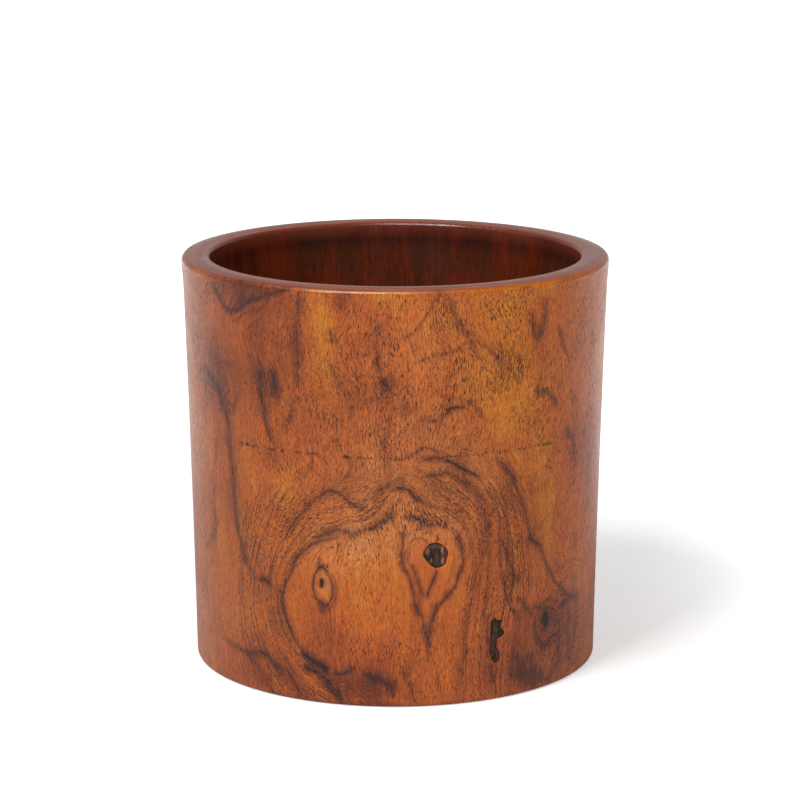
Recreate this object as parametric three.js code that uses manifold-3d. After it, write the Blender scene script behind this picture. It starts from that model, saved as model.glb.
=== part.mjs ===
// A turned hardwood brush pot: a cup bored from one section of a log, with a round plug let into its base
// where the heart of the log was bored out, and two natural flaws in its wall filled with dark compound.
// Lengths are in millimetres and angles in degrees. +Z is up, and the origin is the centre of the resting face.
import * as THREE from 'three';
import { mergeVertices } from 'three/addons/utils/BufferGeometryUtils.js';
import Module from 'manifold-3d';

// Overall form
const height = 177;
const rimRadius = 92;
const footRadius = 87.4;
// The wall draws in this far at mid height, short of a straight taper
const waistDraw = 0.4;
// The wall swells out again by this much just under the lip
const lipFlare = 0.4;
const lipFlareDepth = 14;

// Wall and floor
const wallAtRim = 12.3;
const wallAtFloor = 13.2;
const floorThickness = 15;
const innerCornerRadius = 8;

// Lip: a slightly domed top between two softened edges
const lipOuterRound = 2.4;
const lipInnerRound = 2.0;
const lipCrown = 0.5;

// Foot: a flat resting ring round a shallow recess
const footRingWidth = 15;
const footRecess = 2.4;
const footEdgeRound = 1.2;
const recessEdgeRound = 0.8;
const recessCornerRound = 1.4;

// Base plug, wider at the top so that what stands in the pot wedges it tighter
const plugRadius = 21;
const plugTaper = 0.9;
const plugEdgeBreak = 0.5;
const plugSink = 0.25;

// Filled flaws in the wall. A place is an angle from the front towards +X, and a height above the foot.
const glueGap = 0.3;
const fillingSink = 0.2;
const knotAngle = 10.9;
const knotHeight = 65.3;
const knotDepth = 7;
const barkPocketAngle = 28.5;
const barkPocketHeight = 29.7;
const barkPocketDepth = 4.5;

// Facets
const turnedSegments = 96;
const wallSteps = 10;
const flareSteps = 4;
const roundSteps = 4;
const cornerSteps = 6;
const crownSteps = 4;
const outlineSteps = 48;

const wasm = await Module();
wasm.setup();

// The knot hole's edge, seen from outside the pot: across and up from its centre
const knotOutline = [
  [-5.3, 0.2], [-4.9, 2.2], [-3.5, 4.1], [-2.2, 5.2], [1.0, 5.2], [3.6, 3.6], [5.3, 1.2],
  [4.7, -1.8], [4.1, -4.1], [2.1, -5.3], [-0.4, -5.3], [-2.6, -3.6], [-4.3, -1.6],
];

// The bark pocket's edge: a forked head with a spur to one side, and a tail that follows the grain down
const barkPocketOutline = [
  [-2.6, 4.7], [-0.8, 6.0], [1.2, 4.6], [2.3, 5.0], [3.0, 3.7], [2.1, 1.3], [4.4, -0.7],
  [3.2, -2.6], [0.9, -3.4], [0.5, -7.0], [1.9, -9.0], [2.3, -12.0], [0.3, -13.8],
  [-1.8, -12.0], [-2.8, -8.7], [-2.9, -3.4], [-2.6, 0.6],
];

/** Points of an arc about a centre, both ends included, in the (radius, height) plane. */
function arc(centreR, centreZ, radius, fromDegrees, toDegrees, steps) {
  return Array.from({ length: steps + 1 }, (_, i) => {
    const a = THREE.MathUtils.degToRad(fromDegrees + ((toDegrees - fromDegrees) * i) / steps);
    return new THREE.Vector2(centreR + radius * Math.cos(a), centreZ + radius * Math.sin(a));
  });
}

// The wall runs up to where the lip's outer round begins, and is widest there
const wallTop = height - lipCrown - lipOuterRound;

/** The wall's outer radius at a height: a slight taper with a drawn-in waist and a faint flare at the lip. */
function outerRadius(z) {
  const share = z / wallTop;
  const straight = THREE.MathUtils.lerp(footRadius, rimRadius - lipFlare, share);
  const waist = waistDraw * 4 * share * (1 - share);
  const intoFlare = Math.max(0, (z - (wallTop - lipFlareDepth)) / lipFlareDepth);
  return straight - waist + lipFlare * intoFlare ** 2;
}

/** The bore's radius at a height, tapering with the wall down to the floor. */
function boreRadius(z) {
  const boreAtFloor = outerRadius(floorThickness) - wallAtFloor;
  const share = (z - floorThickness) / (height - floorThickness);
  return THREE.MathUtils.lerp(boreAtFloor, rimRadius - wallAtRim, share);
}

/** The outside of the pot from the foot's edge to the lip's outer edge, drawn in by inset. */
function outerProfile(inset = 0) {
  const flareStart = wallTop - lipFlareDepth;
  const points = arc(footRadius - footEdgeRound, footEdgeRound, footEdgeRound - inset, -90, 0, roundSteps);
  const rise = (from, to, steps) => {
    for (let i = 1; i <= steps; i++) {
      const z = THREE.MathUtils.lerp(from, to, i / steps);
      points.push(new THREE.Vector2(outerRadius(z) - inset, z));
    }
  };
  rise(footEdgeRound, flareStart, wallSteps);
  rise(flareStart, wallTop, flareSteps);
  const lip = arc(rimRadius - lipOuterRound, wallTop, lipOuterRound - inset, 0, 90, roundSteps);
  return points.concat(lip.slice(1));
}

/** The lip's domed top and the bore, from the lip's outer edge down to the plug hole in the floor. */
function innerProfile() {
  const edge = height - lipCrown;
  const from = rimRadius - lipOuterRound;
  const boreTop = edge - lipInnerRound;
  const to = boreRadius(boreTop) + lipInnerRound;
  const points = [];
  for (let i = 1; i < crownSteps; i++) {
    const share = i / crownSteps;
    const dome = lipCrown * 4 * share * (1 - share);
    points.push(new THREE.Vector2(THREE.MathUtils.lerp(from, to, share), edge + dome));
  }
  points.push(...arc(to, boreTop, lipInnerRound, 90, 180, roundSteps));
  const cornerZ = floorThickness + innerCornerRadius;
  points.push(...arc(boreRadius(cornerZ) - innerCornerRadius, cornerZ, innerCornerRadius, 0, -90, cornerSteps));
  return points;
}

/** The resting ring and the recess inside it, from the plug hole out to the foot's edge. */
function undersideProfile() {
  const ringInner = footRadius - footRingWidth;
  const corner = arc(
    ringInner - recessEdgeRound - recessCornerRound, footRecess - recessCornerRound,
    recessCornerRound, 90, 0, roundSteps,
  );
  const edge = arc(ringInner, recessEdgeRound, recessEdgeRound, 180, 270, roundSteps);
  return [...corner, ...edge];
}

/** The radius of the plug's hole, which tapers, at a height in the base. */
function plugHoleRadius(z) {
  return plugRadius + (plugTaper * (z - footRecess)) / (floorThickness - footRecess);
}

/** Turns a profile of (radius, height) points round the pot's axis. */
function turn(points) {
  const geometry = new THREE.LatheGeometry(points, turnedSegments);
  return geometry.rotateX(Math.PI / 2);
}

/** A closed geometry as a solid that can be cut, whichever way its profile ran. */
function solidOf(geometry) {
  const bare = geometry.clone();
  bare.deleteAttribute('normal');
  bare.deleteAttribute('uv');
  const merged = mergeVertices(bare, 1e-4);
  const vertProperties = new Float32Array(merged.attributes.position.array);
  const triVerts = new Uint32Array(merged.index.array);
  const solid = new wasm.Manifold(new wasm.Mesh({ numProp: 3, vertProperties, triVerts }));
  if (solid.volume() > 0) return solid;
  triVerts.reverse();
  return new wasm.Manifold(new wasm.Mesh({ numProp: 3, vertProperties, triVerts }));
}

/** A solid's surface as a geometry that three.js draws. */
function geometryOf(solid) {
  const { vertProperties, triVerts } = solid.getMesh();
  const geometry = new THREE.BufferGeometry();
  geometry.setAttribute('position', new THREE.BufferAttribute(new Float32Array(vertProperties), 3));
  geometry.setIndex(new THREE.BufferAttribute(new Uint32Array(triVerts), 1));
  geometry.computeVertexNormals();
  return geometry;
}

/** A smooth closed outline through points that run clockwise, drawn in by inset along its own normals. */
function smoothOutline(corners, inset) {
  const curve = new THREE.CatmullRomCurve3(corners.map(([x, y]) => new THREE.Vector3(x, y, 0)), true);
  const points = Array.from({ length: outlineSteps }, (_, i) => {
    const share = i / outlineSteps;
    const along = curve.getTangentAt(share);
    const place = curve.getPointAt(share);
    return new THREE.Vector2(place.x + along.y * inset, place.y - along.x * inset);
  });
  return new THREE.Shape(points);
}

/** A prism that stands square to the wall, from some depth under the wall's surface to well outside it. */
function wallPrism(corners, inset, angle, atHeight, depth) {
  const beyond = 6;
  const geometry = new THREE.ExtrudeGeometry(smoothOutline(corners, inset), {
    depth: depth + beyond, steps: 1, bevelEnabled: false,
  });
  const turned = THREE.MathUtils.degToRad(angle);
  const outward = new THREE.Vector3(Math.sin(turned), -Math.cos(turned), 0);
  const across = new THREE.Vector3(Math.cos(turned), Math.sin(turned), 0);
  const up = new THREE.Vector3(0, 0, 1);
  const place = outward.clone().multiplyScalar(outerRadius(atHeight) - depth).addScaledVector(up, atHeight);
  geometry.applyMatrix4(new THREE.Matrix4().makeBasis(across, up, outward).setPosition(place));
  return solidOf(geometry);
}

const flaws = [
  { name: 'knot_filling', outline: knotOutline, angle: knotAngle, height: knotHeight, depth: knotDepth },
  {
    name: 'bark_pocket_filling', outline: barkPocketOutline,
    angle: barkPocketAngle, height: barkPocketHeight, depth: barkPocketDepth,
  },
];

/** The turned cup in one piece, with its plug hole and the pockets of the two flaws. */
function makePotBody() {
  const hole = [
    new THREE.Vector2(plugHoleRadius(floorThickness), floorThickness),
    new THREE.Vector2(plugHoleRadius(footRecess), footRecess),
  ];
  const profile = [...outerProfile(), ...innerProfile(), ...hole, ...undersideProfile()];
  let solid = solidOf(turn([...profile, profile[0].clone()]));
  for (const flaw of flaws) {
    solid = solid.subtract(wallPrism(flaw.outline, 0, flaw.angle, flaw.height, flaw.depth));
  }
  return geometryOf(solid);
}

/** The tapered plug, a glue gap smaller than its hole and just under flush at both ends. */
function makeBasePlug() {
  const bottom = footRecess + plugSink;
  const top = floorThickness - plugSink;
  const radiusAt = (z) => plugHoleRadius(z) - glueGap;
  return turn([
    new THREE.Vector2(0, bottom),
    new THREE.Vector2(radiusAt(bottom) - plugEdgeBreak, bottom),
    new THREE.Vector2(radiusAt(bottom + plugEdgeBreak), bottom + plugEdgeBreak),
    new THREE.Vector2(radiusAt(top - plugEdgeBreak), top - plugEdgeBreak),
    new THREE.Vector2(radiusAt(top) - plugEdgeBreak, top),
    new THREE.Vector2(0, top),
  ]);
}

/** A filling that fits its pocket with a gap all round, its face just under the wall's curved surface. */
function makeFilling({ outline, angle, height: atHeight, depth }) {
  const profile = outerProfile(fillingSink);
  const foot = profile[0];
  const lip = profile[profile.length - 1];
  const blank = solidOf(turn([new THREE.Vector2(0, foot.y), ...profile, new THREE.Vector2(0, lip.y)]));
  const prism = wallPrism(outline, glueGap, angle, atHeight, depth - glueGap);
  return geometryOf(blank.intersect(prism));
}

const heartwood = new THREE.MeshStandardMaterial({ color: 0xa5592a, roughness: 0.38, metalness: 0 });
const plugWood = new THREE.MeshStandardMaterial({ color: 0x8a4522, roughness: 0.5, metalness: 0 });
const darkCompound = new THREE.MeshStandardMaterial({ color: 0x2a211c, roughness: 0.45, metalness: 0 });

/** A named mesh. */
function piece(name, geometry, material) {
  const mesh = new THREE.Mesh(geometry, material);
  mesh.name = name;
  return mesh;
}

const pot = new THREE.Group();
pot.add(piece('pot_body', makePotBody(), heartwood));
pot.add(piece('base_plug', makeBasePlug(), plugWood));
for (const flaw of flaws) {
  pot.add(piece(flaw.name, makeFilling(flaw), darkCompound));
}

export default pot;
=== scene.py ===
"""A turned rosewood brush pot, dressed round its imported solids.

The pot is a plain cup bored from one section of a log, with a round plug let into its base and two
flaws in its wall filled with dark putty. Its beauty is the wood's figure: loops and bands of dark
growth lines round old knots, short open pores, and the deep wax polish of long handling.

Sizes in the classes are millimetres in the row frame: +Z is up, the foot stands on z = 0, and -Y is
the side with the filled knot. A place on the outer wall is (across, up), where across is the
distance round from the front towards +X. Meshes are scaled to metres as their last step.
"""

from __future__ import annotations

import logging
import math
from dataclasses import dataclass, field
from enum import Enum
from typing import Callable, Optional, Sequence, Union

import bmesh
import bpy
import numpy as np
from mathutils import Matrix, Vector, noise

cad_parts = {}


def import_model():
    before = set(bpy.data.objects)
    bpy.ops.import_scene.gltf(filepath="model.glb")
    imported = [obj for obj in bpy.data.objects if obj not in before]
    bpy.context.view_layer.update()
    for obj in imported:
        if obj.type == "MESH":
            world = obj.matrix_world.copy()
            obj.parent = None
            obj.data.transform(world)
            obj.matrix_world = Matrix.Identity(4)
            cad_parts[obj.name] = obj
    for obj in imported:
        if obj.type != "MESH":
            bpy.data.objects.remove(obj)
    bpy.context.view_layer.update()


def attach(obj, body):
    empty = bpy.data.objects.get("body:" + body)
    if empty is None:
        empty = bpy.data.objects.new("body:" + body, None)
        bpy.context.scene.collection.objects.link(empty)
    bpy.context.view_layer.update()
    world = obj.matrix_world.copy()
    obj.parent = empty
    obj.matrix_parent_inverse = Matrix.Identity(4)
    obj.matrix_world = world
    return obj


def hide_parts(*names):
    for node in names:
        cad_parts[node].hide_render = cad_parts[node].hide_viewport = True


MM = 0.001
# Two heights or radii in millimetres are one where they differ by less, and so are two points of a seam
TOUCH = 1e-4
WELD = 2e-3
TINY = 1e-9
FAR = 1e9
log = logging.getLogger("brush_pot")

Colour = tuple[float, float, float, float]
Place = tuple[float, float]
Span = tuple[float, float]
Socket = bpy.types.NodeSocket
Feed = Union[Socket, float, tuple]
Array = np.ndarray
BMesh = bmesh.types.BMesh
BMVert = bmesh.types.BMVert
BMEdge = bmesh.types.BMEdge
NodeTree = bpy.types.NodeTree


def paint(red: int, green: int, blue: int) -> Colour:
    """Gives a colour as a shader takes it.

    Args:
        red: The red that a screen shows, from 0 to 255.
        green: The green that a screen shows, from 0 to 255.
        blue: The blue that a screen shows, from 0 to 255.

    Returns:
        The linear colour, opaque.
    """
    shares = [v / 255 for v in (red, green, blue)]
    linear = [s / 12.92 if s <= 0.04045 else ((s + 0.055) / 1.055) ** 2.4 for s in shares]
    return (linear[0], linear[1], linear[2], 1.0)


# Sizes


@dataclass(frozen=True)
class CupShape:
    """The turned cup's sizes, which are those of its solid."""

    height: float = 177.0
    rim_radius: float = 92.0
    foot_radius: float = 87.4
    waist_draw: float = 0.4
    lip_flare: float = 0.4
    lip_flare_depth: float = 14.0
    wall_at_rim: float = 12.3
    wall_at_floor: float = 13.2
    floor_thickness: float = 15.0
    floor_corner: float = 8.0
    lip_outer_round: float = 2.4
    lip_inner_round: float = 2.0
    lip_crown: float = 0.5
    foot_ring_width: float = 15.0
    foot_recess: float = 2.4
    foot_edge_round: float = 1.2
    recess_edge_round: float = 0.8
    recess_corner_round: float = 1.4
    plug_radius: float = 21.0
    plug_taper: float = 0.9
    unrolled_radius: float = 90.0

    @property
    def edge_height(self) -> float:
        """Height of the lip's two edges, under its domed top."""
        return self.height - self.lip_crown

    @property
    def wall_top(self) -> float:
        """Height at which the wall is widest and the lip's outer round begins."""
        return self.edge_height - self.lip_outer_round

    def outer(self, up: Array | float) -> Array | float:
        """Gives the outer wall's radius.

        Args:
            up: Height above the foot.

        Returns:
            The radius there: a slight taper with a drawn-in waist and a faint flare at the lip.
        """
        share = up / self.wall_top
        straight = self.foot_radius + (self.rim_radius - self.lip_flare - self.foot_radius) * share
        waist = self.waist_draw * 4 * share * (1 - share)
        flare_start = self.wall_top - self.lip_flare_depth
        flare = np.clip((up - flare_start) / self.lip_flare_depth, 0, 1)
        return straight - waist + self.lip_flare * flare**2

    @property
    def bore_at_floor(self) -> float:
        """The bore's radius where it would meet the floor."""
        return float(self.outer(self.floor_thickness)) - self.wall_at_floor

    @property
    def bore_at_rim(self) -> float:
        """The bore's radius at the lip."""
        return self.rim_radius - self.wall_at_rim

    def wall_point(self, across: float, up: float, sink: float = 0.0) -> Vector:
        """Gives a point on the outer wall.

        Args:
            across: Distance round from the front.
            up: Height above the foot.
            sink: How far under the wall's surface.

        Returns:
            The point in the row frame.
        """
        turned = across / self.unrolled_radius
        radius = float(self.outer(up)) - sink
        return Vector((radius * math.sin(turned), -radius * math.cos(turned), up))

    def on_wall(self, place: Vector, sink: float = 0.0) -> Vector:
        """Gives the point on the outer wall, or under it, that is straight out from a place."""
        return self.wall_point(self.across_of(place), place.z, sink)

    def across_of(self, place: Vector) -> float:
        """Gives how far round from the front a place is."""
        return math.atan2(place.x, -place.y) * self.unrolled_radius

    def unroll(self, points: Array) -> tuple[Array, Array, Array]:
        """Gives how far across and up each point lies, and its radius, from rows of x, y and z."""
        turned = np.arctan2(points[:, 0], -points[:, 1])
        return turned * self.unrolled_radius, points[:, 2], np.hypot(points[:, 0], points[:, 1])


@dataclass(frozen=True)
class Flaw:
    """A natural flaw in the wall and its filling: the outline is across and up from its centre."""

    name: str
    turned_degrees: float
    up: float
    depth: float
    outline: tuple[Place, ...]
    window: Span
    relief: float = 0.18

    def across(self, shape: CupShape) -> float:
        """Gives how far round from the front the flaw's centre is."""
        return math.radians(self.turned_degrees) * shape.unrolled_radius

    def edge(self, count: int) -> list[Place]:
        """Gives the outline as a loop of evenly spaced points, across and up from the centre."""
        loop = even_points(smooth_path(self.outline, True), count, True)
        return [(float(x), float(y)) for x, y in loop]

    @property
    def middle(self) -> float:
        """Height above the foot of the outline's middle."""
        heights = [up for _, up in self.outline]
        return self.up + (max(heights) + min(heights)) / 2


KNOT = Flaw(
    name="knot_filling",
    turned_degrees=10.9,
    up=65.3,
    depth=7.0,
    outline=(
        (-5.3, 0.2), (-4.9, 2.2), (-3.5, 4.1), (-2.2, 5.2), (1.0, 5.2), (3.6, 3.6), (5.3, 1.2),
        (4.7, -1.8), (4.1, -4.1), (2.1, -5.3), (-0.4, -5.3), (-2.6, -3.6), (-4.3, -1.6),
    ),
    window=(7.4, 7.4),
)
BARK_POCKET = Flaw(
    name="bark_pocket_filling",
    turned_degrees=28.5,
    up=29.7,
    depth=4.5,
    outline=(
        (-2.6, 4.7), (-0.8, 6.0), (1.2, 4.6), (2.3, 5.0), (3.0, 3.7), (2.1, 1.3), (4.4, -0.7),
        (3.2, -2.6), (0.9, -3.4), (0.5, -7.0), (1.9, -9.0), (2.3, -12.0), (0.3, -13.8),
        (-1.8, -12.0), (-2.8, -8.7), (-2.9, -3.4), (-2.6, 0.6),
    ),
    window=(6.2, 12.4),
    relief=0.25,
)
FLAWS = (KNOT, BARK_POCKET)


# Curves and distances


def smooth_path(points: Sequence[Place], closed: bool, steps: int = 8) -> Array:
    """Runs a smooth curve through points.

    Args:
        points: Places that the curve passes through, in order.
        closed: Whether it runs back to its start.
        steps: How many points it has for each stretch.

    Returns:
        One row for each point of the curve.
    """
    given = np.array(points, float)
    count = len(given)
    if count < 3:
        share = np.linspace(0, 1, steps + 1)[:, None]
        return given[0] * (1 - share) + given[-1] * share
    stretches = count if closed else count - 1
    rows = []
    for i in range(stretches):
        before, start, end, after = (
            given[(i + k) % count] if closed else given[min(max(i + k, 0), count - 1)] for k in (-1, 0, 1, 2)
        )
        for t in np.arange(steps) / steps:
            bent = 2 * start + (end - before) * t + (2 * before - 5 * start + 4 * end - after) * t**2
            rows.append(0.5 * (bent + (3 * start - before - 3 * end + after) * t**3))
    if not closed:
        rows.append(given[-1])
    return np.array(rows)


def even_points(path: Array, count: int, closed: bool) -> Array:
    """Spaces points evenly along a path.

    Args:
        path: The path's points, in order.
        count: How many points to give.
        closed: Whether the path runs back to its start.

    Returns:
        One row for each new point.
    """
    whole = np.vstack([path, path[:1]]) if closed else path
    lengths = np.hypot(*np.diff(whole, axis=0).T)
    run = np.concatenate([[0], np.cumsum(lengths)])
    wanted = np.linspace(0, run[-1], count, endpoint=not closed)
    return np.column_stack([np.interp(wanted, run, whole[:, k]) for k in (0, 1)])


def signed_distance(path: Array, across: Array, up: Array) -> tuple[Array, Array]:
    """Measures how far places lie from a path.

    Args:
        path: The path's points, in order.
        across: How far across each place is.
        up: How far up each place is.

    Returns:
        The distance of each place, positive to the left of the path, and how far along it the
        nearest point is, from 0 to 1.
    """
    nearest = np.full(across.shape, FAR)
    signed = np.zeros(across.shape)
    along = np.zeros(across.shape)
    stretches = len(path) - 1
    for i in range(stretches):
        start, step = path[i], path[i + 1] - path[i]
        length = float(step @ step)
        if length < TINY:
            continue
        du, dz = across - start[0], up - start[1]
        share = np.clip((du * step[0] + dz * step[1]) / length, 0, 1)
        gap = np.hypot(du - share * step[0], dz - share * step[1])
        closer = gap < nearest
        side = np.where(step[0] * dz - step[1] * du >= 0, 1.0, -1.0)
        nearest = np.where(closer, gap, nearest)
        signed = np.where(closer, gap * side, signed)
        along = np.where(closer, (i + share) / stretches, along)
    return signed, along


def eased(value: Array, low: float, high: float) -> Array:
    """Gives 0 below low, 1 above high and a smooth rise between them."""
    share = np.clip((value - low) / (high - low), 0, 1)
    return share * share * (3 - 2 * share)


# The wood's figure


class Layer(Enum):
    """Sets of growth lines. Lines that run close together go into different sets."""

    LOOPS = "figure_loops"
    BANDS = "figure_bands"
    EYES = "figure_eyes"
    STRAYS = "figure_strays"
    WISPS = "figure_wisps"
    RINGS = "figure_rings"


def pairs(*numbers: float) -> tuple[Place, ...]:
    """Gives numbers two by two, as places across and up."""
    return tuple(zip(numbers[::2], numbers[1::2]))


@dataclass(frozen=True)
class Line:
    """A growth line on the outer wall: a thin dark core in a wider soft stain.

    A line fades at its ends and may shade the wood on its left.
    """

    points: tuple[Place, ...]
    core: float = 0.3
    soft: float = 0.6
    width: float = 1.0
    shade: float = 0.0
    closed: bool = False
    fade: float = 0.15


@dataclass(frozen=True)
class Blot:
    """A soft patch on the wall that shifts one of the wood's values."""

    at: Place
    size: Span
    amount: float
    lean: float = 0.0


def blot_rows(*rows: tuple[float, ...]) -> tuple[Blot, ...]:
    """Builds soft patches from rows of across, up, half width, half height, amount and, for some, lean."""
    return tuple(Blot((across, up), (wide, high), *rest) for across, up, wide, high, *rest in rows)


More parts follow.
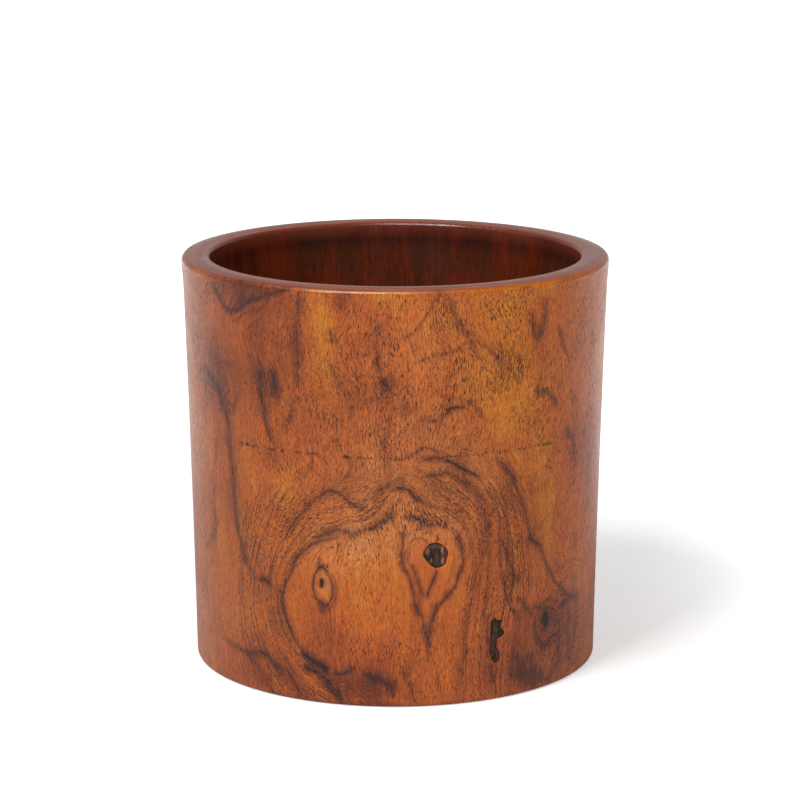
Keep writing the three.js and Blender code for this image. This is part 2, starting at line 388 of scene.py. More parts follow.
LINES: tuple[Line, ...] = (
    # The big light loop, up its left side and over its top
    Line(pairs(
        -31, 14, -34, 16, -37, 18, -40, 20, -43, 23, -45.5, 26, -47.5, 30, -49, 33, -50, 36, -51, 40,
        -51.5, 43, -50.5, 46, -49.5, 49, -48, 52, -46, 56, -44, 61, -40, 64.5, -36, 68, -32, 70, -28, 71,
        -23, 72, -19, 70.5,
    ), 0.6, 0.6, 1.2, 0.25),
    Line(pairs(-43, 21, -40, 19, -37, 17.5, -34, 16, -31, 14, -28.5, 13), 1.0, 1.0, 2.8),
    Line(pairs(-28, 13.3, -23, 12.5, -19.7, 14.5, -17, 16.5), 0.55, 0.8, 1.8),
    Line(pairs(-52, 50, -53.5, 44, -53.4, 38, -52, 32, -49.5, 26, -46, 21, -42, 17), 0.45, 0.5, 1.0),
    Line(pairs(-55, 60, -57.5, 48, -57, 38, -55, 30, -51, 22), 0.3, 0.45, 1.2),
    Line(pairs(
        -38, 70.5, -33, 71.5, -30, 73, -27, 74.5, -24, 75.3, -20, 74, -18, 73.2, -15, 75.2, -11, 76.2,
        -8, 78, -5, 79.5, -3, 81.5, -1.5, 84, 0, 87, 2, 90,
    ), 0.35, 0.75, 1.3, 0.15),
    Line(pairs(-37, 71, -33, 71.6, -29, 73.4, -25, 75), 0.35, 0.7, 1.8),
    # Bands outside the loop
    Line(pairs(
        -50, 68, -48, 71, -46, 74, -45, 76, -43, 78.5, -41, 80.5, -38.5, 83, -36.5, 86, -34.5, 87.5,
        -32, 89, -29.5, 91, -27, 91.5, -25, 91.5, -22.5, 90.5, -21, 89, -19, 87, -17, 86, -15, 85,
        -12, 84.5, -8, 85.5,
    ), 0.3, 0.6, 1.1, 0.2),
    Line(pairs(-33, 88.5, -29.5, 91, -27, 91.6, -24, 91), 0.6, 0.7, 1.4),
    Line(pairs(-20, 87.8, -17, 86, -13, 84.7), 0.6, 0.7, 1.5),
    Line(pairs(-56, 74, -51, 84, -46, 92, -40, 98, -33, 101), 0.1, 0.3, 0.9),
    Line(pairs(-25, 91.5, -24, 94, -22.5, 96, -20.5, 98, -19, 101, -18, 103, -15, 106), 0.15, 0.35, 0.8),
    Line(pairs(-10, 88.5, -8, 90, -5, 93, -1, 96, 2, 97, 5, 96), 0.1, 0.6, 1.5),
    Line(pairs(-1, 93, 2.3, 93.8, 5.9, 92.8, 8, 89.8, 12.3, 87.4), 0.65, 0.8, 1.6),
    Line(pairs(10, 88.6, 12.3, 87.4, 18.7, 85, 25, 83.5, 31, 82), 0.2, 0.5, 1.0),
    # Under the loop
    Line(pairs(
        -41, 15.5, -38.5, 13.5, -34, 12, -30.5, 9, -27.5, 5.5, -25, 2.5, -22, -1,
    ), 0.65, 0.9, 2.6, 0.15),
    Line(pairs(-14, 14, -11, 12.5, -8, 11), 0.5, 0.8, 2.4),
    Line(pairs(
        -97, 17, -90, 17.5, -83, 16, -78, 15.5, -74, 15, -70, 14.5, -66, 16.5, -62, 16.5, -58, 15,
        -56, 12.5, -53, 11.5, -50, 11, -48, 9, -46, 6, -44, 4, -42, 1, -40, -2,
    ), 0.35, 0.7, 1.3, 0.1),
    Line(pairs(-12, 12, -8, 11.5, -4, 9.5, -1.5, 7.5, 0, 4), 0.4, 0.8, 1.8),
    Line(pairs(1, 19, 3, 16, 4.5, 12, 6, 9, 7, 7, 8, 3, 9, 0), 0.3, 0.6, 1.0, 0.1),
    Line(pairs(9, 8, 11, 5, 12.5, 1), 0.1, 0.35, 0.8),
    # The small eye
    Line(pairs(-32, 54.3, -31.9, 52, -32.1, 49.2), 1.2, 0.7, 1.3, fade=0.25),
    Line(pairs(
        -32.3, 58.8, -29.2, 56.5, -27.2, 51.5, -27, 46.5, -28.8, 43, -31.3, 42.3, -34.3, 44.5, -36, 49,
        -35.3, 54, -33.7, 57.3,
    ), 0.7, 0.6, 0.9, closed=True),
    Line(pairs(-34, 44, -31.3, 41.8, -28.4, 42.8), 0.7, 0.8, 1.6),
    Line(pairs(-33.4, 57.6, -32.2, 59, -30.6, 57.8), 0.5, 0.7, 1.6),
    Line(pairs(-28, 57, -25.8, 52, -25.6, 47, -27, 42.5, -30, 39.6), 0.4, 0.5, 0.8),
    # The filled knot's drop
    Line(pairs(
        4, 80, 3.7, 76, 3.5, 72, 3, 66, 3.4, 60, 5.6, 57, 7, 52, 8, 47, 9, 43, 11, 39, 12.5, 34, 13.5, 30,
        14.3, 27,
    ), 0.4, 0.8, 0.9),
    Line(pairs(
        21, 79, 25, 75.5, 27, 72, 28.5, 68, 29.3, 64, 29.3, 60, 27.5, 55, 25.5, 50, 23, 47.5, 21, 45,
        18.5, 42.5, 17, 40, 16, 37, 15.3, 33, 15, 29, 14.5, 26.5,
    ), 0.4, 0.95, 1.2),
    Line(pairs(12, 36, 13.2, 31.5, 14.2, 28, 14.6, 24), 0.5, 0.9, 2.2),
    Line(pairs(14.4, 26, 14.2, 22, 14, 18), 0.2, 0.5, 1.0),
    Line(pairs(5.2, 60, 5.4, 64, 5.6, 68, 7, 71.5, 10, 72.6, 12.5, 71.5, 14, 70.3), 0.5, 0.35, 0.55),
    Line(pairs(7, 62, 8.4, 57.5, 10.6, 51, 13, 46), 0.4, 0.7, 0.9),
    Line(pairs(18.4, 59, 17, 55.6, 15.6, 52, 14.2, 49, 13.2, 45.6), 0.75, 0.7, 0.9),
    Line(pairs(7.6, 45, 9.2, 42, 10.4, 39.5), 0.4, 0.8, 1.6),
    Line(pairs(9, 80.2, 14, 78.6, 19, 78, 23, 76.6), 0.15, 0.9, 2.8),
    Line(pairs(3, 81.8, 6, 81.5, 9, 81, 13, 79.6), 0.6, 0.8, 1.2),
    Line(pairs(24, 67, 25.6, 62, 24.4, 56, 21.5, 51), 0.15, 0.3, 0.6),
    # Arcs over the top
    Line(pairs(-1, 105, 5, 106.7, 7.5, 108.2, 11, 110.4, 12.6, 111, 16.6, 109.4, 21, 107.8), 0.5, 0.5, 0.9),
    Line(pairs(
        9, 104.5, 12, 105.5, 16, 106.2, 20, 106, 22, 105.6, 25, 103.3, 28, 101.4, 31, 99.8, 35, 97.4,
        39.5, 94.5,
    ), 0.55, 0.7, 1.2, 0.12),
    Line(pairs(20.5, 105.8, 25, 103.4, 28, 101.4, 32, 99.4), 0.95, 0.8, 1.7),
    Line(pairs(
        8, 96, 11.6, 98.1, 16.6, 99.2, 22.3, 99.4, 25.5, 97.4, 29.6, 95.2, 33.7, 91.7, 38, 87, 41, 82,
    ), 0.35, 0.6, 1.2),
    Line(pairs(4, 101, 8, 99, 14, 95.5, 20, 93.5, 27, 90, 32, 85), 0.1, 0.35, 1.0),
    Line(pairs(
        32, 92, 36, 87, 39, 80, 41, 72, 41.5, 64, 41.5, 58, 41, 50, 40.5, 42, 39.5, 34,
    ), 0.15, 0.55, 1.2),
    Line(pairs(36, 80, 38, 72, 38.6, 65, 38.5, 57, 36.5, 50, 35.5, 43), 0.15, 0.5, 1.0),
    Line(pairs(34, 66, 35.5, 58, 34.4, 50, 33.5, 44, 32, 37, 31, 30, 31, 20, 32, 12), 0.2, 0.5, 1.0),
    Line(pairs(29.5, 38, 29.8, 30, 30.4, 22, 28, 10), 0.15, 0.4, 0.8),
    Line(pairs(
        40, 94, 43.5, 86, 46, 77, 46.6, 68, 47, 58, 48.6, 52, 50, 46, 50.5, 42, 51, 36,
    ), 0.2, 0.55, 1.2, 0.1),
    Line(pairs(46, 92, 49, 84, 50, 75, 51, 65, 51.4, 58, 54, 50, 55, 46), 0.25, 0.6, 1.4),
    Line(pairs(51.4, 46, 53.6, 40, 55, 34), 0.2, 0.5, 1.0),
    Line(pairs(52, 88, 56, 85, 58, 80, 60, 72), 0.25, 0.5, 1.2),
    # The long line on the right, down past the small knot
    Line(pairs(
        43, 111, 44, 107, 44.5, 104, 47, 101, 49, 99, 50.5, 97, 52, 95, 53.5, 92, 57, 85, 60, 78, 62.4, 69,
        65, 65, 69, 62, 73, 54, 75.5, 50, 78, 46, 81, 43, 85, 40, 88, 37.5, 92, 35, 97, 33, 104, 33.5,
        112, 36,
    ), 0.35, 0.65, 1.3, 0.15),
    Line(pairs(62, 70, 63.4, 66.5, 65.5, 64.8, 69, 63), 0.5, 0.8, 1.8),
    Line(pairs(80, 43.5, 84.5, 40.3, 88, 37.5, 93, 34.5), 0.3, 0.8, 2.0),
    Line(pairs(61.6, 67.7, 64, 65.4, 67, 63), 0.7, 0.7, 1.6),
    Line(pairs(45.3, 71, 50.7, 61.4, 54.4, 52.3, 58, 48), 0.35, 0.6, 1.6),
    Line(pairs(49.8, 45, 52.5, 38.6, 58, 32), 0.4, 0.6, 1.5),
    Line(pairs(55.3, 43, 61.6, 36.8, 66, 32), 0.35, 0.6, 1.6),
    Line(pairs(41.4, 39, 41, 31, 41.6, 22, 41.4, 16), 0.55, 0.5, 0.8),
    Line(pairs(43.2, 16, 43.8, 11, 44.6, 6), 0.35, 0.6, 1.2),
    Line(pairs(20.6, 24, 21, 30, 20.2, 38), 0.1, 0.3, 0.7),
    # The small knot
    Line(pairs(73.2, 31.8, 72.2, 29, 73.4, 26.4, 74.4, 29), 1.4, 0.9, 2.0, closed=True),
    Line(pairs(63, 35.4, 68, 35.6, 72, 34.6, 76.5, 33.6, 79.5, 30.6, 80.5, 26), 0.25, 0.7, 1.2),
    Line(pairs(67.6, 33, 67, 28.5, 67.6, 25, 69, 21.6, 71.6, 19, 75, 17.4, 78, 18), 0.5, 0.75, 1.2),
    Line(pairs(82, 30, 83, 20, 84, 12, 85, 6), 0.2, 0.55, 1.4),
    Line(pairs(90, 33, 91, 24, 91.5, 14, 93, 4), 0.15, 0.5, 2.0),
    # Left side
    Line(pairs(
        -112, 126, -106, 130, -101, 133, -97, 134, -94, 132, -91, 130, -88, 128, -86, 125, -84, 121,
        -82, 117, -81, 113, -80.5, 107, -80, 100, -79, 95, -78.5, 90, -78.5, 84, -78, 78, -77.5, 72,
        -75, 64, -73, 58, -68, 51, -62, 48.6, -57, 47,
    ), 0.25, 0.7, 2.0, 0.35),
    Line(pairs(-80, 99, -79, 94.5, -78.6, 90, -79, 83), 0.45, 0.6, 1.2),
    Line(pairs(-78, 70, -75, 64, -73.6, 58.5, -71, 54), 0.4, 0.5, 1.0),
    Line(pairs(-64, 48, -61.4, 49.6, -59, 48.6, -56.5, 46), 0.6, 0.8, 1.6),
    Line(pairs(
        -95, 92, -94, 84, -95, 75, -94.5, 68, -96, 62, -98, 59, -101, 56.5, -104, 55, -109, 53,
    ), 0.1, 0.5, 2.4),
    Line(pairs(-91, 106, -91.4, 99, -92, 91), 0.4, 0.5, 0.8),
    Line(pairs(
        -59.6, 143, -60, 138, -60.5, 133, -60, 128, -58.6, 124, -58, 118, -56, 112, -53, 108,
    ), 0.5, 0.8, 1.7),
    Line(pairs(-53, 141, -52.6, 137, -53, 132, -54, 128), 0.45, 0.8, 2.4),
    Line(pairs(-45, 129, -44.4, 125, -46, 120, -47.5, 115), 0.25, 0.6, 1.6),
    Line(pairs(-35, 109, -35.2, 105, -36, 99), 0.35, 0.4, 0.7),
    # Top left
    Line(pairs(
        -90, 178, -87, 172, -84, 167, -80, 163.4, -77, 162.5, -74, 163, -71, 164, -69, 166, -66, 167.5,
        -63, 168.6, -60, 170, -56, 171.5, -50, 173.5, -44, 176, -40, 179,
    ), 0.4, 0.75, 1.3, 0.45),
    Line(pairs(-76, 160, -73, 158.5, -71, 160.4, -68, 162.4, -62, 164.5, -54, 167), 0.15, 0.4, 0.9),
    Line(pairs(-40, 176, -40, 170, -41, 163, -42, 155, -41, 145, -42, 134), 0.15, 0.5, 1.4),
    # Top centre and right
    Line(pairs(-27, 161, -26.4, 157, -25.8, 153), 0.5, 0.5, 0.9),
    Line(pairs(-30, 150, -26, 144, -22, 137, -19, 128, -18, 121), 0.1, 0.4, 1.2),
    Line(pairs(-7, 151, -7.4, 147, -6.2, 143), 0.5, 0.5, 1.0),
    Line(pairs(
        9, 122, 13, 122.5, 17, 122, 20, 124, 22, 126, 24, 127.2, 27, 127.2, 30, 125.4,
    ), 0.35, 0.6, 0.9),
    Line(pairs(21.6, 126, 24, 127.4, 28.4, 126.8), 0.8, 0.8, 1.3),
    Line(pairs(20, 130, 26, 131, 33, 127.5, 38, 121), 0.1, 0.4, 1.0),
    Line(pairs(18, 178, 16.6, 173, 14, 169, 12, 165, 10, 162, 7, 158.6, 3, 156), 0.3, 0.4, 0.8),
    Line(pairs(21, 175, 23, 168, 26, 163, 28, 160, 31, 157, 33, 150, 36, 144), 0.15, 0.6, 2.2),
    Line(pairs(33, 155.5, 28, 153.5, 26, 151.5, 22, 150.5, 17, 149.5, 12, 148, 6, 145.5), 0.25, 0.45, 0.8),
    Line(pairs(33, 155, 38, 151.5, 43, 148, 47, 141), 0.1, 0.4, 1.4),
    Line(pairs(60, 166, 61, 158, 63.6, 152.4, 66, 156, 67.4, 162, 67.6, 171), 0.3, 0.7, 1.6),
    Line(pairs(75.6, 158, 77.5, 152.5, 79, 149, 80.6, 146, 83, 142.6, 86.4, 137), 0.55, 0.5, 0.9),
    Line(pairs(62, 130, 67, 129.6, 70, 128.5, 73, 126.6, 75.5, 124.5, 76, 120.5), 0.35, 0.8, 1.6),
    Line(pairs(85, 127, 89, 124.4, 90.4, 120), 0.1, 0.5, 1.4),
    Line(pairs(83, 113, 86, 108.5, 89, 105, 91, 101, 92, 96), 0.3, 0.6, 1.4),
    Line(pairs(70.6, 98, 72, 96, 75, 95.3), 0.4, 0.5, 0.8),
    # The back, with a drop round an old closed knot
    Line(pairs(196, 178, 190, 150, 196, 122, 214, 100, 232, 108, 240, 132, 238, 178), 0.3, 0.6, 1.2, 0.2),
    Line(pairs(
        206, 96, 203, 82, 208, 70, 214, 56, 220, 70, 224, 83, 220, 95, 213, 99,
    ), 0.5, 0.6, 1.0, closed=True),
    Line(pairs(211, 86, 210, 80, 213, 76, 216, 81, 215, 87), 0.9, 0.8, 1.0, closed=True),
    Line(pairs(150, 178, 146, 130, 152, 90, 148, 40, 152, 0), 0.2, 0.6, 1.8, 0.2),
    Line(pairs(262, 178, 268, 120, 260, 70, 250, 30, 254, 0), 0.25, 0.6, 1.6, 0.2),
    Line(pairs(-232, 178, -226, 120, -236, 60, -228, 0), 0.25, 0.6, 1.6, 0.2),
    Line(pairs(-190, 178, -184, 140, -172, 110, -160, 118, -152, 140, -150, 178), 0.2, 0.6, 1.4, 0.15),
    Line(pairs(-150, 0, -146, 30, -138, 56, -146, 90, -140, 130), 0.2, 0.5, 1.6, 0.15),
)


# Soft patches: golden and red move the wood's hue, dark shades it, open gives pores and tan pales it
# The broad golden patch on the right flank is partly painted light, and the broad dark one down the left
# flank is painted shade
GOLDEN = blot_rows(
    (-12, 62, 17, 11, 0.45), (-14, 46, 14, 12, 0.3), (0, 88, 4, 5, 0.9), (-31, 49, 3, 5, 0.3),
    (-31, 161, 5, 18, 0.9), (-30, 138, 5, 10, 0.4), (-46, 132, 3, 12, 0.3), (40, 132, 8, 8, 0.8, -0.6),
    (48, 118, 14, 6, 0.6, -0.9), (40, 170, 18, 9, 0.5), (-5, 175, 5, 3, 0.9), (10, 164, 8, 10, 0.4),
    (12, 140, 5, 12, 0.3), (-50, 86, 6, 10, 0.5), (-43, 95, 6, 6, 0.5), (-68, 100, 7, 20, 0.4),
    (-98, 102, 6, 10, 0.7), (-88, 66, 4, 16, 0.35), (-86, 52, 3, 6, 0.5), (-95, 42, 7, 4, 0.5),
    (-85, 26, 4, 6, 0.45), (-73, 31, 4, 6, 0.5), (-71, 66, 4, 8, 0.5), (25, 60, 4, 9, 0.5),
    (18, 72, 6, 3, 0.35), (50, 146, 15, 14, 0.8), (50, 48, 6, 14, 0.5), (26, 86, 22, 8, 0.4),
    # (76, 112) lightens and yellows the right flank: partly the wood's own tone, partly painted light
    (76, 112, 30, 36, 0.15), (64, 108, 9, 14, 0.5), (72, 80, 6, 10, 0.55), (74, 60, 5, 8, 0.4),
    (68, 174, 10, 4, 0.6), (73, 129, 3, 1.6, 0.7), (73, 11, 2.4, 4, 0.8), (90, 52, 10, 8, 0.4),
    (-110, 82, 6, 10, 0.3), (120, 130, 20, 30, 0.3), (170, 60, 20, 40, 0.5), (228, 60, 12, 40, 0.4),
    (-205, 90, 14, 60, 0.5), (-160, 60, 12, 40, 0.3),
)
RED = blot_rows(
    (-68, 172, 15, 6, 0.9), (-88, 126, 12, 9, 0.8), (-86, 146, 7, 9, 0.7), (-58, 156, 10, 8, 0.35),
    (-42, 150, 3, 10, 0.5), (-22, 172, 5, 4, 0.8), (-10, 165, 5, 9, 0.4), (-13.5, 71.5, 4.5, 2.2, 0.8),
    (-5, 88, 10, 4, 0.5), (34, 76, 7, 14, 0.3, -0.3), (44, 62, 8, 18, 0.3), (-54, 136, 14, 14, 0.7),
    (34, 122, 4, 5, 0.4), (-10, 18, 14, 9, 0.5), (-26, 6, 16, 8, 0.2), (52, 22, 9, 10, 0.5),
    (10, 47, 1.8, 5, 0.9), (92, 22, 16, 14, 0.8), (76, 28, 7, 8, 0.6), (60, 24, 6, 9, 0.4),
    (-8, 8, 10, 7, 0.6), (-64, 8, 14, 7, 0.7), (-31, 33, 9, 7, 0.6), (-31.6, 40.6, 1.8, 1.6, 0.8),
    (-66, 23, 5, 2, 0.6), (-64, 44, 6, 4, 0.3), (-56, 103, 5, 5, 0.5), (100, 100, 12, 12, 0.6),
    (64, 155, 3, 6, 0.6), (108, 76, 8, 12, 0.4), (-112, 70, 6, 8, 0.4), (0, 132, 14, 10, 0.35),
    (18.5, 176, 2, 2, 0.8), (200, 140, 20, 20, 0.4), (-230, 40, 20, 30, 0.5), (270, 60, 14, 60, 0.5),
    (-170, 140, 12, 20, 0.5),
)
DARK = blot_rows(
    (-70, 175, 10, 2.6, 0.55), (-70, 168, 10, 4, 0.2), (-94, 131, 5, 3, 0.35), (-84, 120, 3, 5, 0.3),
    (-59.8, 137, 1.6, 6, 0.45), (-52.8, 136, 2, 4, 0.5), (-46, 151, 1.6, 2.4, 0.4), (-40, 169, 1.2, 4, 0.4),
    (-21, 173, 2, 2.4, 0.35), (-9, 163, 1.6, 4, 0.4), (-12, 157, 1.2, 3, 0.3), (-4.6, 138, 0.9, 2, 0.9),
    (-1.6, 139.5, 1.4, 3, 0.6), (-8, 131.5, 3, 1.4, 0.4), (-15.6, 133, 1, 2.6, 0.4),
    (4, 127.5, 2.2, 2.6, 0.45), (25, 127, 3, 1.1, 0.3), (-56, 142, 16, 18, 0.2), (-26, 130, 16, 24, 0.14),
    (62, 14, 22, 12, 0.16), (-9, 77, 1.4, 0.8, 0.7), (-5, 80, 1.2, 0.8, 0.7), (16, 78, 4, 1.6, 0.35),
    (26, 102.6, 5, 1.8, 0.3, -0.6), (16, 96, 16, 12, 0.1), (41, 76, 0.8, 2.4, 0.9), (49, 99, 1.5, 1.9, 0.6),
    (53, 93, 1.4, 1.9, 0.6), (30.4, 94.6, 1.5, 2, 0.3), (62.6, 9, 3.6, 4, 0.85, -0.3),
    (66, 5, 3.4, 2.4, 0.7), (56, 12, 4, 3.4, 0.55), (72, 2.6, 8, 2.4, 0.6), (64, 8, 9, 7, 0.4, 0.8),
    # (-108, 90) darkens the whole left flank: painted shade
    (-40, 4, 26, 7, 0.12), (-108, 90, 26, 80, 0.2), (62, 36, 2, 4, 0.25), (73, 28.6, 2, 2.4, 0.5),
    (84, 11, 1.4, 3, 0.35), (92, 12, 10, 8, 0.25), (84, 28, 8, 6, 0.15), (-39, 14.4, 2.4, 1.8, 0.7),
    (-24, 5, 4, 6, 0.45, 0.8), (-8, 11, 3, 1.8, 0.5), (-3, 9, 2, 2, 0.45), (-7, 6, 5, 4, 0.28),
    (-40, 1.4, 2.4, 1.6, 0.5), (-64, 15.6, 4, 2, 0.45), (-57, 13, 3, 2.4, 0.35), (-75, 15, 5, 1.2, 0.2),
    (-75, 22.4, 1.3, 1.1, 0.4), (-31.5, 58.4, 2, 0.9, 0.5), (-31, 39.6, 1.4, 1.8, 0.35),
    (9.4, 42, 1.2, 1.8, 0.5), (14, 30.5, 1.2, 3.4, 0.4), (-61.4, 49.4, 1.6, 1.4, 0.5),
    (-64, 56, 1, 2.4, 0.3), (-60.5, 60.5, 1, 1.4, 0.3), (-83, 86, 4, 7, 0.22), (-87, 105, 4, 5, 0.2),
    (-57, 103, 4, 3.4, 0.22), (-110, 35, 4, 3, 0.3), (-103, 17, 1.4, 2, 0.3), (-104, 154, 6, 16, 0.22),
    (105, 147.5, 1.1, 1.4, 0.8), (119.5, 16, 1.6, 0.8, 0.6), (93, 112, 4, 4, 0.25), (108, 98, 6, 12, 0.25),
    (64, 154, 2, 4, 0.3), (64, 117.6, 0.8, 0.9, 0.8), (96.6, 127.6, 0.8, 1.6, 0.5), (95, 58.4, 2, 2, 0.3),
    (107, 70, 4, 4, 0.2), (213, 81, 2.6, 4, 0.6),
)
OPEN = blot_rows(
    (0, 126, 26, 20, 0.5), (26, 92, 18, 12, 0.5), (50, 142, 12, 8, 0.6), (-40, 78, 12, 10, 0.4, 0.6),
    (60, 66, 16, 26, 0.5), (-15, 50, 22, 16, -0.55), (17, 58, 10, 17, -0.85), (-31, 50, 7, 11, -0.4),
    (-90, 60, 30, 50, -0.4), (30, 160, 12, 12, 0.3), (-66, 60, 8, 16, 0.4),
)
TAN = blot_rows(
    (0, 96, 20, 16, 0.6), (-14, 72, 12, 8, 0.75), (12, 122, 14, 12, 0.2), (20, 76, 10, 5, 0.5),
    (-32, 64, 9, 7, 0.35), (34, 96, 12, 12, 0.3), (-112, 60, 14, 60, 0.4), (12, 152, 12, 10, 0.25),
    (-64, 62, 8, 12, 0.2), (-72, 32, 10, 12, 0.25), (104, 30, 10, 20, 0.2), (-31, 51, 3, 5, 0.4),
)
# Where the fine growth bands show
BANDED = blot_rows(
    (12, 98, 26, 8, -0.35), (-26, 86, 12, 8, -0.2), (-88, 128, 12, 10, 0.6), (-80, 90, 6, 40, 0.4),
    (84, 36, 16, 16, 0.7), (73, 28, 8, 8, 0.6), (90, 12, 20, 12, 0.6), (213, 80, 20, 40, 0.8),
    (66, 86, 8, 20, 0.4), (17, 52, 10, 18, 0.2), (-60, 8, 26, 9, 0.4),
)
# Where the row of small peck marks round the wall is thick
PECKED = blot_rows(
    (-69, 106.5, 4, 5, 1.0), (-64, 106.4, 1, 5, 1.0), (-60, 106.4, 1, 5, 0.8), (-54.3, 107, 1.2, 5, 1.0),
    (-49.5, 106.4, 1, 5, 0.8), (-43, 106.5, 1, 5, 0.8), (-34.4, 106.4, 1.5, 5, 1.1),
    (-31.5, 106.5, 1.3, 5, 0.8), (-20.6, 106.8, 1, 5, 1.1), (-19, 107, 1, 5, 0.8),
    (-13.5, 106.5, 1.2, 5, 1.1), (-3.2, 106.2, 1.4, 5, 0.8), (0.6, 106.5, 1, 5, 1.0),
    (37.5, 107, 1.1, 5, 1.1), (40, 106.7, 1, 5, 0.8), (47, 106.5, 3, 5, 0.6), (56, 106.6, 1, 5, 0.7),
    (66, 107, 1, 5, 0.5), (71.6, 106.8, 1.2, 5, 1.1), (76, 106.8, 1, 5, 0.6), (97, 107, 1.4, 5, 0.6),
)


def share_out(lines: Sequence[Line], apart: float) -> dict[Layer, list[Line]]:
    """Puts each growth line into the first set where it has room, or where it has most room.

    Args:
        lines: The growth lines.
        apart: How far apart the lines of a set should be.

    Returns:
        The lines of each set.
    """
    sets: dict[Layer, list[Line]] = {layer: [] for layer in Layer}
    paths = {line: smooth_path(line.points, line.closed, 3) for line in lines}

    def room(line: Line, layer: Layer) -> float:
        """Gives the least distance from a line to the lines of a set."""
        others = (paths[other] for other in sets[layer])
        gaps = [np.linalg.norm(paths[line][:, None] - other[None], axis=2).min() for other in others]
        return min(gaps + [apart])

    for line in lines:
        sets[max(Layer, key=lambda layer: room(line, layer))].append(line)
    return sets


